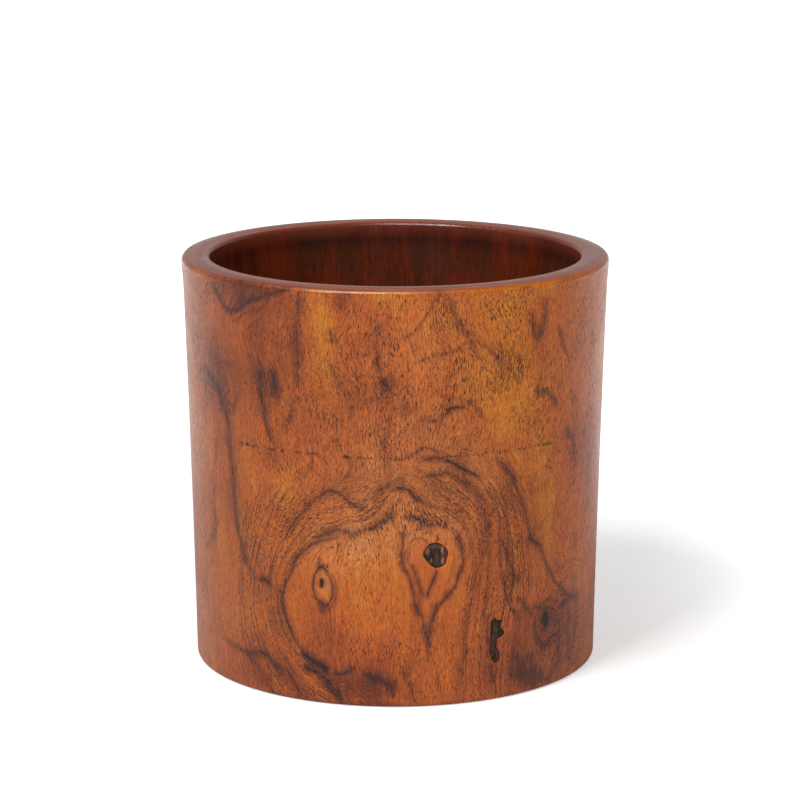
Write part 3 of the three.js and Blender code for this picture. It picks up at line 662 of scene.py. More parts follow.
@dataclass
class WallFigure:
    """Writes the wood's figure onto the cup as values at its mesh's points.

    The tables were read on an unrolled wall of the laid radius, and the stretch and the lift set them onto
    the pot. A span of two numbers is where a mask begins and where it is full.
    """

    shape: CupShape
    reach: float = 5.0
    fade_from: float = 0.6
    no_line_gap: float = 1000.0
    line_room: float = 5.5
    steps_a_stretch: int = 4
    shade_width: float = 5.0
    shade_edge: float = 1.0
    laid_radius: float = 91.3
    laid_stretch: float = 0.993
    laid_lift: float = 1.1
    field_ease: float = 2e-4
    wall_depths: Span = (-5.0, -2.0)
    wall_heights: Span = (-0.5, 1.0)
    ring_starts: Span = (-4.0, 1.0)
    ring_ends: Span = (22.0, 32.0)
    ring_tops: Span = (96.0, 110.0)
    ring_slope: float = 0.25
    bore_depths: Span = (10.9, 12.3)
    bore_heights: Span = (8.0, 14.0)
    bore_full_height: float = 70.0
    bore_floor_share: float = 0.6
    lip_tops: Span = (1.5, 2.35)
    lip_inner_drop: float = 2.2
    lip_inner_span: Span = (-86.0, -83.0)
    polish_heights: Span = (-0.3, 0.5)
    floor_heights: Span = (0.3, 4.0)
    floor_share: float = 0.8
    under_edge: Span = (1.0, 1.7)
    under_heights: Span = (2.6, 3.4)
    foot_heights: Span = (0.3, 2.4)
    lines: dict[Layer, list[Line]] = field(init=False)

    def __post_init__(self) -> None:
        """Shares the growth lines out."""
        self.lines = share_out(LINES, self.line_room)

    def _wrapped(self, across: Array, centre: float) -> Array:
        """Gives places across the wall the short way round from a centre."""
        turn = 2 * math.pi * self.laid_radius
        return (across - centre + turn / 2) % turn - turn / 2 + centre

    def _offset(self, blot: Blot, across: Array, up: Array) -> tuple[Array, ...]:
        """Measures points from a soft patch.

        Args:
            blot: The patch.
            across: How far across each point is.
            up: How far up each point is.

        Returns:
            How far each is across and up from the patch's centre, and how strong the patch is there.
        """
        du = self._wrapped(across, blot.at[0]) - blot.at[0]
        dz = up - blot.at[1]
        wide, high = du - blot.lean * dz * 0.5, dz + blot.lean * du * 0.5
        return du, dz, np.exp(-0.5 * ((wide / blot.size[0]) ** 2 + (high / blot.size[1]) ** 2))

    def _blots(self, blots: Sequence[Blot], across: Array, up: Array) -> Array:
        """Adds soft patches up.

        Args:
            blots: The patches.
            across: How far across each point is.
            up: How far up each point is.

        Returns:
            The sum of the patches at each point.
        """
        total = np.zeros(across.shape)
        for blot in blots:
            total += blot.amount * self._offset(blot, across, up)[2]
        return total

    def _growth(self, across: Array, up: Array) -> Array:
        """Runs a smooth field through the flow lines.

        Args:
            across: How far across each point is.
            up: How far up each point is.

        Returns:
            The field at each point, whose level lines the fine bands and dashes of the wood follow.
        """

        def on_wall(u: Array, z: Array) -> Array:
            """Gives places on the wall as points in space, in wall radii."""
            turned = u / self.laid_radius
            return np.column_stack([np.sin(turned), -np.cos(turned), z / self.laid_radius])

        given = np.array([place for _, line in FLOW for place in line], float)
        values = [value for value, line in FLOW for _ in line]
        known = on_wall(given[:, 0], given[:, 1])
        plane = np.column_stack([np.ones(len(known)), known])
        size = len(known)
        system = np.zeros((size + 4, size + 4))
        system[:size, :size] = np.linalg.norm(known[:, None] - known[None], axis=2) ** 3
        system[:size, :size] += np.eye(size) * self.field_ease
        system[:size, size:] = plane
        system[size:, :size] = plane.T
        answer = np.linalg.solve(system, np.concatenate([values, np.zeros(4)]))
        asked = on_wall(across, up)
        level = asked @ answer[size + 1:] + answer[size]
        for k in range(size):
            level += answer[k] * np.linalg.norm(asked - known[k], axis=1) ** 3
        return level

    def _fibre_shift(self, across: Array, up: Array) -> Array:
        """Bends the fibres round the knots.

        Args:
            across: How far across each point is.
            up: How far up each point is.

        Returns:
            How far to shift each point across before the grain is drawn there.
        """
        shift = np.zeros(across.shape)
        for bend in FIBRE_SPREADS + FIBRE_SLOPES:
            du, dz, share = self._offset(bend, across, up)
            shift += bend.amount * (-du if bend in FIBRE_SPREADS else dz) * share
        return shift

    def _line_layer(self, layer: Layer, across: Array, up: Array, dark: Array) -> Array:
        """Draws one set of growth lines, and shades the wood beside them.

        Args:
            layer: The set.
            across: How far across each point is.
            up: How far up each point is.
            dark: The shading so far, which the lines' shading is added to.

        Returns:
            For each point the distance to its line, the line's core, its stain and its width.
        """
        values = np.zeros((len(across), 4))
        values[:, 0] = self.no_line_gap
        values[:, 3] = 1.0
        for line in self.lines[layer]:
            path = smooth_path(line.points, line.closed, self.steps_a_stretch)
            if line.closed:
                path = np.vstack([path, path[:1]])
            near_u = self._wrapped(across, float(path[:, 0].mean()))
            margin = self.reach + (2 * self.shade_width if line.shade else 0)
            near = (
                (near_u > path[:, 0].min() - margin) & (near_u < path[:, 0].max() + margin)
                & (up > path[:, 1].min() - margin) & (up < path[:, 1].max() + margin)
            )
            gap, along = signed_distance(path, near_u[near], up[near])
            ends = np.ones(gap.shape) if line.closed else eased(np.minimum(along, 1 - along), 0.0, line.fade)
            share = ends * (1 - eased(np.abs(gap), self.fade_from * self.reach, self.reach))
            width = np.full(gap.shape, line.width)
            fresh = np.column_stack([gap, line.core * share, line.soft * share, width])
            current = values[near]
            values[near] = np.where((np.abs(gap) < np.abs(current[:, 0]))[:, None], fresh, current)
            halo = np.exp(-np.abs(gap) / np.where(gap > 0, self.shade_width, self.shade_edge))
            dark[near] += line.shade * ends * halo
        return values

    def write(self, mesh: bpy.types.Mesh) -> None:
        """Writes every value of the figure.

        Args:
            mesh: The cup's mesh, in metres.
        """
        s = self.shape
        points = np.empty(len(mesh.vertices) * 3)
        mesh.vertices.foreach_get("co", points)
        true_across, height, radius = s.unroll(points.reshape(-1, 3) / MM)
        across = true_across * self.laid_radius / s.unrolled_radius
        up = (height - self.laid_lift) / self.laid_stretch
        outside = eased(radius - s.outer(height), *self.wall_depths) * eased(height, *self.wall_heights)
        dark = self._blots(DARK, across, up)
        for layer in Layer:
            values = self._line_layer(layer, across, up, dark)
            values[:, 1:3] *= outside[:, None]
            self._store(mesh, layer.value, values)
        turned = (across + self._fibre_shift(across, up) * outside) / self.laid_radius
        fibres = np.column_stack([radius * np.sin(turned), -radius * np.cos(turned), height])
        self._store(mesh, "fibre_place", fibres)
        growth = self._growth(across, up)
        self._store(mesh, "growth", growth)
        tone = self._blots(GOLDEN, across, up) - self._blots(RED, across, up)
        ringed = eased(growth, *self.ring_starts) * (1 - eased(growth, *self.ring_ends))
        ringed = ringed * (1 - eased(up - self.ring_slope * across, *self.ring_tops))
        banded = np.clip(ringed + self._blots(BANDED, across, up), 0, 1)
        tan, pecked = self._blots(TAN, across, up), self._blots(PECKED, across, up)
        masks = {"tone": tone, "tan": tan, "dark": dark, "banded": banded, "pecked": pecked}
        for name, values in masks.items():
            self._store(mesh, name, values * outside)
        self._store(mesh, "open_grain", 1 + self._blots(OPEN, across, up) * outside)
        inner = eased(s.outer(height) - radius, *self.bore_depths) * eased(height, *self.bore_heights)
        self._store(mesh, "bore_dark", self._blots(BORE_DARK, across, up) * inner)
        self._store(mesh, "bore_amber", self._blots(BORE_AMBER, across, up) * inner)
        self._write_turning(mesh, height, radius, inner)

    def _write_turning(self, mesh: bpy.types.Mesh, height: Array, radius: Array, inner: Array) -> None:
        """Writes the values that go by height and radius alone.

        Args:
            mesh: The cup's mesh.
            height: How high each point is.
            radius: How far each point is from the axis.
            inner: Where the bore and its floor are.
        """
        s = self.shape
        deep = eased(height, s.floor_thickness, self.bore_full_height)
        self._store(mesh, "bore", inner * (self.bore_floor_share + (1 - self.bore_floor_share) * deep))
        lip_from, lip_to = (s.wall_top + step for step in self.lip_tops)
        top = eased(height + self.lip_inner_drop * eased(-radius, *self.lip_inner_span), lip_from, lip_to)
        floor_from, floor_to = (s.floor_thickness + step for step in self.floor_heights)
        floor = inner * (1 - eased(height, floor_from, floor_to))
        below = eased(s.foot_radius - radius, *self.under_edge) * (1 - eased(height, *self.under_heights))
        self._store(mesh, "cut_across", np.maximum(top, np.maximum(self.floor_share * floor, below)))
        polish_from, polish_to = (s.wall_top + step for step in self.polish_heights)
        self._store(mesh, "polish", eased(height, polish_from, polish_to))
        # The foot mask is where the finish paints shade along the cup's lowest edge
        self._store(mesh, "foot", 1 - eased(height, *self.foot_heights))

    @staticmethod
    def _store(mesh: bpy.types.Mesh, name: str, values: Array) -> None:
        """Adds one value, or a set of three or four, for each point of a mesh.

        Args:
            mesh: The mesh.
            name: The attribute's name.
            values: One value or one row of values for each point.
        """
        kinds = {1: ("FLOAT", "value"), 3: ("FLOAT_VECTOR", "vector"), 4: ("FLOAT_COLOR", "color")}
        kind, key = kinds[1 if values.ndim == 1 else values.shape[1]]
        attribute = mesh.attributes.new(name, kind, "POINT")
        attribute.data.foreach_set(key, np.ascontiguousarray(values, np.float32).ravel())


# Flow lines of the fine grain, each with about its distance out from the edge of the light loop
FLOW: tuple[tuple[float, tuple[Place, ...]], ...] = (
    (0, pairs(
        -24, 9, -36, 16, -45, 26, -50, 38, -50, 48, -45, 60, -37, 69, -28, 75, -20, 78, -12, 80, -5, 87,
        0, 94, 6, 92, 13, 87, 22, 82, 29, 76, 32, 66, 31.5, 55, 31, 44, 30, 30, 30, 15, 30, 2,
    )),
    (8, pairs(
        -27, 0, -40, 8, -50, 18, -57, 32, -58, 45, -53, 60, -45, 72, -37, 82, -27, 88, -16, 91, -7, 98,
        2, 102, 11, 99, 20, 94, 29, 88, 36, 79, 40, 68, 40, 55, 39, 42, 37, 28, 36, 12, 36, 2,
    )),
    (16, pairs(
        -40, -2, -52, 8, -61, 20, -66, 34, -66, 48, -62, 64, -54, 78, -44, 91, -32, 98, -20, 102, -10, 107,
        2, 110, 13, 108, 23, 103, 34, 96, 43, 84, 48, 70, 49, 56, 48, 42, 46, 28, 45, 14, 45, 2,
    )),
    (26, pairs(
        -60, 0, -70, 12, -75, 26, -76, 42, -75, 58, -71, 74, -64, 92, -56, 106, -42, 114, -25, 117, -8, 119,
        8, 120, 22, 116, 36, 108, 48, 96, 56, 80, 60, 68, 62, 56, 62, 46, 60, 34, 57, 20, 55, 4,
    )),
    (36, pairs(30, 126, 44, 116, 55, 103, 63, 88, 67, 74, 71, 62, 77, 51, 85, 43, 96, 37, 108, 36)),
    (36, pairs(-84, 4, -86, 20, -86, 44, -85, 66, -82, 88, -80, 110, -84, 124, -94, 133, -110, 130)),
    (50, pairs(-98, 14, -100, 40, -98, 66, -95, 90, -98, 108, -108, 112)),
    (38, pairs(66.5, 28, 73, 35, 79.5, 28, 73, 20)),
    (46, pairs(73, 28, 96, 22, 104, 10, 84, 2, 112, 26, -70, 165, -20, 160, 10, 160, 40, 150)),
    (44, pairs(-46, 150, 70, 130, 90, 100, 100, 70, 80, 170)),
    (-16, pairs(17.3, 64.6, -32, 50.5)),
    (-9, pairs(
        4, 74, 3.2, 62, 8, 49, 14.5, 28, 29, 62, 25, 74, 15, 79, -32, 58, -26, 50, -31, 42, -36, 50, -8, 52,
        -4, 34, -16, 28,
    )),
    (-6, pairs(-38, 32, -22, 18, -4, 12, -10, 72, -26, 66, 20, 14, 20, 34)),
    (54, pairs(-122, 20, -120, 60, -116, 100, -124, 150, 120, 10, 118, 60, 120, 110, 124, 160)),
    (64, pairs(150, 170, 146, 130, 152, 90, 148, 40, 152, 5, -150, 5, -146, 60, -148, 110, -152, 165)),
    (80, pairs(186, 10, 184, 60, 182, 110, 186, 165, 262, 170, 266, 110, 256, 60, 250, 10)),
    (92, pairs(205, 82, 221, 82, 213, 62, 213, 100)),
    (100, pairs(213, 81)),
    (72, pairs(-232, 170, -226, 110, -236, 60, -228, 5, -190, 40, -188, 130)),
)
# Where the fibres part round knots, and where they lean
FIBRE_SPREADS = blot_rows(
    (-10, 50, 30, 30, 0.35), (17, 62, 9, 13, 0.5), (-31, 50.5, 5, 7, 0.5), (73, 28, 8, 10, 0.6),
    (213, 81, 14, 24, 0.8),
)
FIBRE_SLOPES = blot_rows(
    (-40, 72, 12, 14, -0.9), (-20, 92, 12, 9, -0.8), (44, 92, 16, 18, 0.6), (8, 96, 10, 8, -0.3),
    (26, 92, 10, 10, 0.6), (30, 155, 16, 16, 0.5), (-70, 166, 16, 12, -0.8), (84, 42, 14, 16, 0.6),
    (30, 126, 10, 10, 0.4), (-40, 12, 12, 10, 0.7), (-22, 138, 10, 14, 0.4),
)
BORE_DARK = blot_rows(
    (-278.4, 153, 3, 5, 1.0), (-260, 155, 3, 3, 0.8), (-267.6, 167, 4, 4, 0.5), (-242, 167, 10, 8, 0.6),
    (-198.5, 170, 1.4, 4, 0.9), (214, 170, 2.5, 7, 0.8), (198.5, 171, 2.5, 5, 0.7), (236, 160, 8, 7, 0.6),
    (271, 164, 8, 6, 0.5), (266, 156, 4, 6, 0.5), (-225, 160, 10, 8, 0.3), (180, 150, 10, 20, 0.5),
)
BORE_AMBER = blot_rows(
    (-212, 158, 16, 7, 0.7), (-262, 148, 20, 6, 0.6), (225, 158, 6, 9, 0.6), (-205, 171, 8, 5, 0.4),
    (250, 149, 15, 6, 0.5), (206, 165, 4, 10, 0.5), (-150, 120, 20, 30, 0.3), (60, 90, 30, 30, 0.3),
)


# Modelling helpers


def place_object(name: str, data: bpy.types.ID) -> bpy.types.Object:
    """Puts a mesh, a camera or a lamp into the scene as an object.

    Args:
        name: The object's name.
        data: Its mesh, camera or lamp.

    Returns:
        The object.
    """
    placed = bpy.data.objects.new(name, data)
    bpy.context.scene.collection.objects.link(placed)
    return placed


def to_object(bm: BMesh, name: str) -> bpy.types.Object:
    """Turns a bmesh in millimetres into a finished object in metres.

    Args:
        bm: The bmesh, which is freed.
        name: The object's name.

    Returns:
        The object, which rides on the part's one body.
    """
    bmesh.ops.scale(bm, vec=Vector((MM, MM, MM)), verts=bm.verts)
    for face in bm.faces:
        face.smooth = True
    mesh = bpy.data.meshes.new(name)
    bm.to_mesh(mesh)
    bm.free()
    piece = place_object(name, mesh)
    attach(piece, "root")
    return piece


def round_corner(bm: BMesh, corner: BMVert, radius: float, steps: int) -> None:
    """Rounds one corner of a flat section with a given number of facets.

    Args:
        bm: The bmesh.
        corner: The corner.
        radius: The round's radius.
        steps: How many facets it gets.
    """
    bmesh.ops.bevel(
        bm, geom=[corner], offset=radius, offset_type="OFFSET", segments=steps, profile=0.5,
        affect="VERTICES", material=-1,
    )


def cut_edges(bm: BMesh, wanted: Callable[[Vector, Vector], bool], cuts: int) -> None:
    """Cuts every edge whose two ends pass a test into even stretches."""
    edges = [e for e in bm.edges if wanted(e.verts[0].co, e.verts[1].co)]
    bmesh.ops.subdivide_edges(bm, edges=edges, cuts=cuts)


def spin_section(bm: BMesh, steps: int) -> None:
    """Turns a section in the XZ plane once round the pot's axis, a quarter at a time.

    Args:
        bm: The bmesh, which holds the section's points and edges alone.
        steps: How many facets the turn has, in fours.
    """
    bmesh.ops.spin(
        bm, geom=bm.verts[:] + bm.edges[:], cent=(0, 0, 0), axis=(0, 0, 1), dvec=(0, 0, 0),
        angle=math.pi / 2, steps=steps // 4, use_merge=False, use_normal_flip=False, use_duplicate=False,
    )
    quarter = bm.verts[:] + bm.edges[:] + bm.faces[:]
    for turns in (1, 2, 3):
        copied = bmesh.ops.duplicate(bm, geom=quarter)["geom"]
        verts = [g for g in copied if isinstance(g, BMVert)]
        bmesh.ops.rotate(bm, cent=(0, 0, 0), matrix=Matrix.Rotation(turns * math.pi / 2, 3, "Z"), verts=verts)
    seams = [v for v in bm.verts if min(abs(v.co.x), abs(v.co.y)) < WELD / 2]
    bmesh.ops.remove_doubles(bm, verts=seams, dist=WELD)
    bmesh.ops.recalc_face_normals(bm, faces=bm.faces)


def sink_walls(bm: BMesh, shape: CupShape, edges: Sequence[BMEdge], sinks: Sequence[float]) -> None:
    """Grows walls inwards from a loop on the cup's wall, and closes them at their end.

    Args:
        bm: The bmesh that holds the loop.
        shape: The cup's sizes.
        edges: The loop's edges.
        sinks: How far under the wall's surface each ring of the walls lies.
    """
    for sink in sinks:
        grown = bmesh.ops.extrude_edge_only(bm, edges=edges)["geom"]
        for vert in (g for g in grown if isinstance(g, BMVert)):
            vert.co = shape.on_wall(vert.co, sink)
        edges = [g for g in grown if isinstance(g, BMEdge)]
    bmesh.ops.contextual_create(bm, geom=edges)


@dataclass
class PotBody:
    """The turned cup: outer wall, lip, bore, floor and foot in one piece, with the flaws' pockets.

    Level edges are cut where they are longer than the least cut. The wall's own faces lie in its skin. A
    pocket's edge is how deep the rings lie that ease the wall into it.
    """

    shape: CupShape = field(default_factory=CupShape)
    flaws: tuple[Flaw, ...] = FLAWS
    around: int = 416
    wall_cuts: int = 131
    bore_cuts: int = 26
    lip_cuts: int = 7
    floor_cuts: int = 7
    ring_cuts: int = 4
    least_cut: float = 2.0
    section_slack: float = 0.01
    skin: float = 8.0
    hem_cuts: int = 3
    pocket_edge: tuple[float, ...] = (0.12, 0.5)
    hole_margin: float = 0.1
    sharp_degrees: float = 45.0

    def build(self) -> bpy.types.Object:
        """Builds the cup.

        Returns:
            Its object, in place of the CAD node.
        """
        bm = bmesh.new()
        self._section(bm)
        self._shape_section(bm)
        spin_section(bm, self.around)
        for flaw in self.flaws:
            self._open_pocket(bm, flaw)
        bmesh.ops.recalc_face_normals(bm, faces=bm.faces)
        self._sharpen_hole(bm)
        piece = to_object(bm, "turned_cup")
        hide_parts("pot_body")
        WallFigure(self.shape).write(piece.data)
        return piece

    def _sharpen_hole(self, bm: BMesh) -> None:
        """Keeps the edges of the plug's hole sharp, so that no bright ring runs round it.

        Args:
            bm: The piece's bmesh.
        """
        hole = self.shape.plug_radius + self.shape.plug_taper + self.hole_margin
        for edge in bm.edges:
            if max(v.co.xy.length for v in edge.verts) < hole:
                edge.smooth = edge.calc_face_angle(0.0) < math.radians(self.sharp_degrees)

    def _section(self, bm: BMesh) -> None:
        """Draws half of the cup's section as a flat face and rounds its corners.

        Args:
            bm: The piece's bmesh.
        """
        s = self.shape
        ring = s.foot_radius - s.foot_ring_width
        widest = s.foot_radius + (s.rim_radius - s.foot_radius) * s.edge_height / s.wall_top
        corners = (
            (s.plug_radius, s.foot_recess, 0.0, 0),
            (ring, s.foot_recess, s.recess_corner_round, 3),
            (ring, 0.0, s.recess_edge_round, 3),
            (s.foot_radius, 0.0, s.foot_edge_round, 5),
            (widest, s.edge_height, s.lip_outer_round, 8),
            (s.bore_at_rim, s.edge_height, s.lip_inner_round, 7),
            (s.bore_at_floor, s.floor_thickness, s.floor_corner, 8),
            (s.plug_radius + s.plug_taper, s.floor_thickness, 0.0, 0),
        )
        points = [bm.verts.new((r, 0, z)) for r, z, _, _ in corners]
        bm.faces.new(points)
        for point, (_, _, radius, steps) in zip(points, corners):
            if radius:
                round_corner(bm, point, radius, steps)

    def _shape_section(self, bm: BMesh) -> None:
        """Cuts the section's long edges, then gives the wall its waist and the lip its dome.

        Args:
            bm: The piece's bmesh.
        """
        s = self.shape
        middle = s.height / 2

        def upright(a: Vector, b: Vector, outer: bool) -> bool:
            """Tells whether an edge runs up the outer wall, or up the bore."""
            return (a.z - middle) * (b.z - middle) < 0 and (a.x > s.bore_at_rim + s.lip_inner_round) == outer

        def level(a: Vector, b: Vector, up: float) -> bool:
            """Tells whether a long edge lies level at a height."""
            return max(abs(a.z - up), abs(b.z - up)) < TOUCH and abs(a.x - b.x) > self.least_cut

        cut_edges(bm, lambda a, b: upright(a, b, True), self.wall_cuts)
        cut_edges(bm, lambda a, b: upright(a, b, False), self.bore_cuts)
        cut_edges(bm, lambda a, b: level(a, b, s.edge_height), self.lip_cuts)
        cut_edges(bm, lambda a, b: level(a, b, s.floor_thickness), self.floor_cuts)
        cut_edges(bm, lambda a, b: level(a, b, 0.0), self.ring_cuts)
        cut_edges(bm, lambda a, b: level(a, b, s.foot_recess), self.floor_cuts)
        lip_from = s.bore_at_rim + s.lip_inner_round
        lip_to = s.rim_radius - s.lip_outer_round
        wall_from, wall_to = s.foot_edge_round - self.section_slack, s.wall_top + self.section_slack
        for vert in bm.verts:
            r, z = vert.co.x, vert.co.z
            if r > s.foot_radius - s.waist_draw and wall_from < z < wall_to:
                vert.co.x = float(s.outer(z))
            elif abs(z - s.edge_height) < TOUCH and lip_from < r < lip_to:
                share = (r - lip_from) / (lip_to - lip_from)
                vert.co.z += s.lip_crown * 4 * share * (1 - share)
        bmesh.ops.delete(bm, geom=bm.faces[:], context="FACES_ONLY")

    def _open_pocket(self, bm: BMesh, flaw: Flaw) -> None:
        """Opens the wall at a flaw and sinks its pocket.

        Args:
            bm: The spun cup.
            flaw: The flaw that the pocket is cut to.
        """
        s = self.shape
        centre = flaw.across(s)
        inside = []
        for face in bm.faces:
            place = face.calc_center_median()
            if place.y < 0 and abs(place.z - flaw.middle) < flaw.window[1]:
                beside = abs(s.across_of(place) - centre) < flaw.window[0]
                if beside and place.xy.length > s.rim_radius - self.skin:
                    inside.append(face)
        gone = set(inside)
        frame = [e for f in inside for e in f.edges if any(o not in gone for o in e.link_faces)]
        bmesh.ops.delete(bm, geom=inside, context="FACES")
        ring = bmesh.ops.create_circle(bm, cap_ends=False, radius=1.0, segments=len(frame))["verts"]
        for vert, (across, up) in zip(ring, flaw.edge(len(ring))):
            vert.co = s.wall_point(centre + across, flaw.up + up)
        hem = list({e for v in ring for e in v.link_edges})
        bridge = bmesh.ops.bridge_loops(bm, edges=frame + hem)
        spokes = [e for e in bridge["edges"] if e not in set(frame) and e not in set(hem)]
        fresh = bmesh.ops.subdivide_edges(bm, edges=spokes, cuts=self.hem_cuts, use_grid_fill=True)
        for vert in (g for g in fresh["geom_inner"] if isinstance(g, BMVert)):
            vert.co = s.on_wall(vert.co)
        sink_walls(bm, s, [e for e in hem if e.is_valid], (*self.pocket_edge, flaw.depth))


@dataclass
class FlawFilling:
    """Dark putty that fills one flaw, rubbed down just short of the wall and shrunk a little.

    Its face has furrows along the fibres and grit all over, and sinks further at its edge.
    """

    flaw: Flaw
    shape: CupShape = field(default_factory=CupShape)
    cell: float = 0.32
    outline_points: int = 160
    gap: float = 0.12
    sink: float = 0.16
    shoulder: float = 0.6
    edge_sink: float = 0.18
    edge_reach: float = 0.35
    furrow_scale: Span = (0.9, 0.22)
    furrow_seed: float = 3.0
    grit_scale: Span = (2.4, 1.5)
    grit_seed: float = 12.0
    grit_share: float = 0.35

    def build(self) -> bpy.types.Object:
        """Builds the filling.

        Returns:
            Its object, in place of the CAD node.
        """
        bm = bmesh.new()
        rim = self._face(bm)
        sink_walls(bm, self.shape, rim, (self.shoulder, self.flaw.depth - self.gap))
        bmesh.ops.recalc_face_normals(bm, faces=bm.faces)
        piece = to_object(bm, self.flaw.name + "_putty")
        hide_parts(self.flaw.name)
        return piece

    def _relief(self, across: float, up: float, from_edge: float) -> float:
        """Gives how far under the wall the putty's face lies.

        Args:
            across: Distance across from the flaw's centre.
            up: Distance up from the flaw's centre.
            from_edge: Distance from the filling's edge.

        Returns:
            The depth: deeper at the edge and in furrows that follow the fibres.
        """
        wide, high = self.furrow_scale
        furrow = noise.noise(Vector((across * wide, up * high, self.furrow_seed)))
        wide, high = self.grit_scale
        grit = noise.noise(Vector((across * wide, up * high, self.grit_seed)))
        patchy = max(0.0, furrow) + self.grit_share * grit
        return self.sink + self.flaw.relief * patchy + self.edge_sink * math.exp(-from_edge / self.edge_reach)

    def _face(self, bm: BMesh) -> list[BMEdge]:
        """Cuts a fine grid to the outline and lays it on the wall.

        Args:
            bm: The filling's bmesh.

        Returns:
            The edges round the face.
        """
        outline = np.array(self.flaw.edge(self.outline_points))
        loop = np.vstack([outline, outline[:1]])
        half = np.abs(outline).max(axis=0) + self.cell
        columns, rows = (int(2 * h / self.cell) for h in half)
        bmesh.ops.create_grid(bm, x_segments=columns, y_segments=rows, size=1.0)
        bmesh.ops.scale(bm, vec=Vector((half[0], half[1], 1)), verts=bm.verts)
        centres = np.array([f.calc_center_median()[:2] for f in bm.faces])
        depth = self._inside(loop, centres)
        outside = [f for f, d in zip(bm.faces, depth) if d < self.gap]
        bmesh.ops.delete(bm, geom=outside, context="FACES")
        rim = [e for e in bm.edges if e.is_boundary]
        on_rim = {v for e in rim for v in e.verts}
        verts = list(bm.verts)
        places = np.array([v.co[:2] for v in verts])
        depth = self._inside(loop, places)
        inner = outline * (1 - self.gap / np.hypot(*outline.T))[:, None]
        centre = self.flaw.across(self.shape)
        for vert, place, from_edge in zip(verts, places, depth):
            if vert in on_rim:
                place = inner[np.hypot(*(inner - place).T).argmin()]
                from_edge = 0.0
            sink = self._relief(place[0], place[1], max(0.0, float(from_edge)))
            vert.co = self.shape.wall_point(centre + place[0], self.flaw.up + place[1], sink)
        return rim

    @staticmethod
    def _inside(loop: Array, places: Array) -> Array:
        """Gives how far inside a clockwise loop each place lies, negative outside it."""
        gap, _ = signed_distance(loop, places[:, 0], places[:, 1])
        return -gap


@dataclass
class BasePlug:
    """The tapered plug in the base, faced off just under flush at both ends, with faint tool marks."""

    shape: CupShape = field(default_factory=CupShape)
    sink: float = 0.25
    gap: float = 0.16
    edge_break: float = 0.5
    around: int = 160
    face_cuts: int = 23
    least_cut: float = 5.0
    tool_mark: float = 0.03
    marks_from: float = 2.0
    marks_margin: float = 1.5

    def build(self) -> bpy.types.Object:
        """Builds the plug.

        Returns:
            Its object, in place of the CAD node.
        """
        s = self.shape
        low, high = s.foot_recess + self.sink, s.floor_thickness - self.sink
        slope = s.plug_taper / (s.floor_thickness - s.foot_recess)
        bm = bmesh.new()
        corners = (
            (0.0, low), (s.plug_radius - self.gap + slope * self.sink, low),
            (s.plug_radius - self.gap + slope * (high - s.foot_recess), high), (0.0, high),
        )
        points = [bm.verts.new((r, 0, z)) for r, z in corners]
        bm.faces.new(points)
        for point in points[1:3]:
            round_corner(bm, point, self.edge_break, 3)

        def flat(a: Vector, b: Vector) -> bool:
            """Tells whether an edge is long and level."""
            return abs(a.z - b.z) < TOUCH and abs(a.x - b.x) > self.least_cut

        cut_edges(bm, flat, self.face_cuts)
        middle = (low + high) / 2
        for i, vert in enumerate(sorted(bm.verts, key=lambda v: (v.co.z > middle, v.co.x))):
            if self.marks_from < vert.co.x < s.plug_radius - self.marks_margin:
                mark = self.tool_mark * (i % 2)
                vert.co.z += mark if vert.co.z < middle else -mark
        bmesh.ops.delete(bm, geom=bm.faces[:], context="FACES_ONLY")
        axis_edge = [e for e in bm.edges if max(v.co.x for v in e.verts) < TOUCH]
        bmesh.ops.delete(bm, geom=axis_edge, context="EDGES")
        spin_section(bm, self.around)
        bmesh.ops.remove_doubles(bm, verts=bm.verts, dist=TOUCH)
        bmesh.ops.recalc_face_normals(bm, faces=bm.faces)
        piece = to_object(bm, "turned_plug")
        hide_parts("base_plug")
        return piece


# Shading


